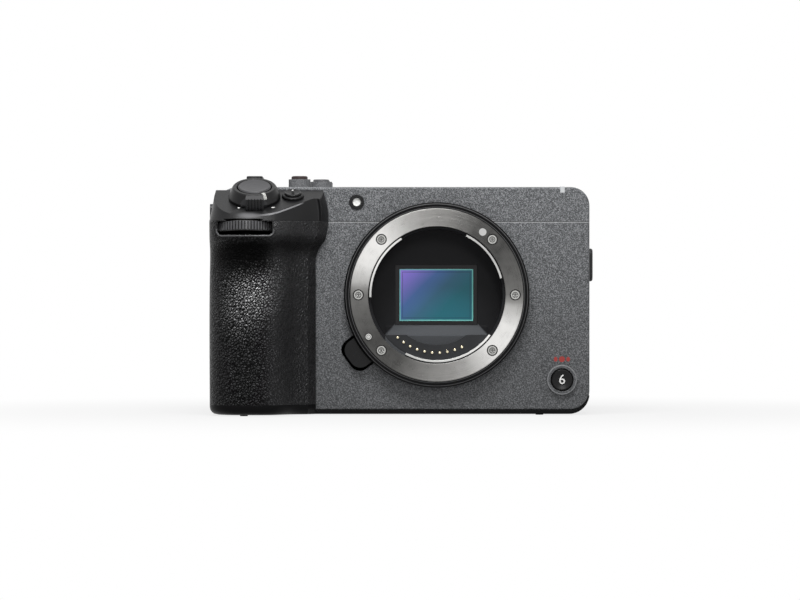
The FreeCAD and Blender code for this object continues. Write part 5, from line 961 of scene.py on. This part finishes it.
def prints():
    x, y, z = recordCollar["x"], marks["recordY"], marks["recordZ"]
    printedText("recordNumber", "6", marks["digitTall"],
                at(x, marks["digitY"], recordCollar["z"], "front"), "front_rec_button")
    printedDot("recordMark", marks["recordRadius"], at(x, y, z, "front"), slotName="record_red")
    for side in (-1, 1):
        printedDot(f"recordBar{side + 2}", marks["recordRadius"],
                   at(x + side * marks["recordApart"], y, z, "front"),
                   slotName="record_red", stretch=marks["recordBar"])
    printedDot("zoomMarkWide", marks["zoomRadius"], onDeck(*marks["wide"]))
    printedDot("zoomMarkNear", marks["zoomRadius"], onDeck(*marks["near"]),
               stretch=marks["nearStretch"])
    printedDot("isoMark", marks["isoRadius"], onDeck(*marks["iso"]), "iso_button")
    printedText("irisNumber", "1", marks["topTall"], at(*marks["iris"], "top"))
    printedText("whiteNumber", "2", marks["topTall"], at(*marks["white"], "top"))
    printedDot("playMark", marks["playRadius"], at(*marks["play"], "rear", marks["playSpin"]),
               corners=3)
    printedDot("powerMark", marks["powerRadius"], at(*marks["power"], "top"))


prints()
print("marks made")


# Studio: the floor fades to white between whiteFrom and whiteAt millimetres from the origin

studio = {"floorSize": 6.0, "floorGrey": (0.46, 0.5), "floorPatches": 0.02, "floorWhite": 0.8,
          "whiteFrom": 60, "whiteAt": 260, "world": 0.07, "aimZ": 0.04}
# lamps' lengths, aimZ (the middle of the camera's height) and the floor's size are metres
lamps = {
    "keyLight": {"power": 3.5, "size": (0.3, 0.16), "spot": (-0.04, -0.3, 0.5), "aimX": 0.0},
    "topLight": {"power": 1.4, "size": (1.1, 0.7), "spot": (0.0, 0.2, 0.95), "aimX": 0.0},
    "fillLight": {"power": 0.85, "size": (0.6, 0.8), "spot": (0.95, -0.7, 0.3), "aimX": 0.0},
    "sheenLight": {"power": 1.5, "size": (0.14, 0.2), "spot": (0.06, -1.03, 0.42), "aimX": -0.06},
}


def softLight(name, row):
    deselectAll()
    bpy.ops.object.light_add(type="AREA", location=row["spot"])
    lamp = bpy.context.object
    lamp.name = name
    lamp.data.shape = "RECTANGLE"
    lamp.data.size, lamp.data.size_y = row["size"]
    lamp.data.energy = row["power"]
    aim = Vector((row["aimX"], 0, studio["aimZ"])) - Vector(row["spot"])
    lamp.rotation_euler = aim.to_track_quat("-Z", "Y").to_euler()


def seenRays(tree, kinds=("Camera", "Glossy", "Transmission")):
    # 1 for rays that show the background: straight to the camera, in a reflection or through glass
    rays = (tree.add("ShaderNodeLightPath", {}, {}, f"Is {kind} Ray") for kind in kinds)
    return sum(rays).within()


def makeFloor():
    deselectAll()
    bpy.ops.mesh.primitive_plane_add(size=studio["floorSize"], location=(0, 0, cadBox[0][2]))
    floor = bpy.context.object
    floor.name = "floor"
    look = Look("floorWhite", Roughness=0.9)
    dark, light = ((level, level, level) for level in studio["floorGrey"])
    look.finish(Base_Color=look.mix(look.noise(studio["floorPatches"]), dark, light))
    # to the camera it is nearly white under the object, and white beyond its shadow
    far = look.radius(look.x, look.y).smooth(studio["whiteFrom"], studio["whiteAt"])
    white = look.add("ShaderNodeEmission", {}, {"Color": (1.0, 1.0, 1.0), "Strength": 1.0})
    share = seenRays(look) * (studio["floorWhite"] + (1 - studio["floorWhite"]) * far)
    painted = Wire(look, look.shader.outputs[0])
    mixed = look.add("ShaderNodeMixShader", {}, {0: share, 1: painted, 2: white})
    # clear from below, so that the base can be looked at
    under = look.add("ShaderNodeNewGeometry", {}, {}, "Backfacing") * seenRays(look, ("Camera",))
    clear = look.add("ShaderNodeBsdfTransparent", {}, {})
    mixed = look.add("ShaderNodeMixShader", {}, {0: under, 1: mixed, 2: clear})
    look.tree.links.new(mixed.socket, look.tree.nodes["Material Output"].inputs[0])
    floor.data.materials.append(look.material)


def makeWorld():
    world = bpy.data.worlds.new("studioWorld")
    bpy.context.scene.world = world
    world.use_nodes = True
    tree = Tree(world.node_tree)
    sky = tree.tree.nodes["Background"]
    tree.join(sky.inputs["Color"], (1.0, 1.0, 1.0))
    tree.join(sky.inputs["Strength"], studio["world"] + (1 - studio["world"]) * seenRays(tree))


# away is from the mount's flange to the camera, lens its focal length
viewpoint = {"x": -12.33, "z": 38.3, "flangeY": -26.5, "away": 1285.0, "lens": 172.6,
             "sensorWide": 36}


def makeCamera():
    deselectAll()
    spot = Vector((viewpoint["x"], viewpoint["flangeY"] - viewpoint["away"], viewpoint["z"])) * mm
    bpy.ops.object.camera_add(location=spot, rotation=(math.radians(90), 0, 0))
    camera = bpy.context.object
    camera.data.lens = viewpoint["lens"]
    camera.data.sensor_width = viewpoint["sensorWide"]
    bpy.context.scene.camera = camera


makeFloor()
for lampName, lampRow in lamps.items():
    softLight(lampName, lampRow)
makeWorld()
makeCamera()
bpy.context.scene.view_settings.view_transform = "Standard"
deselectAll()
print("studio made")
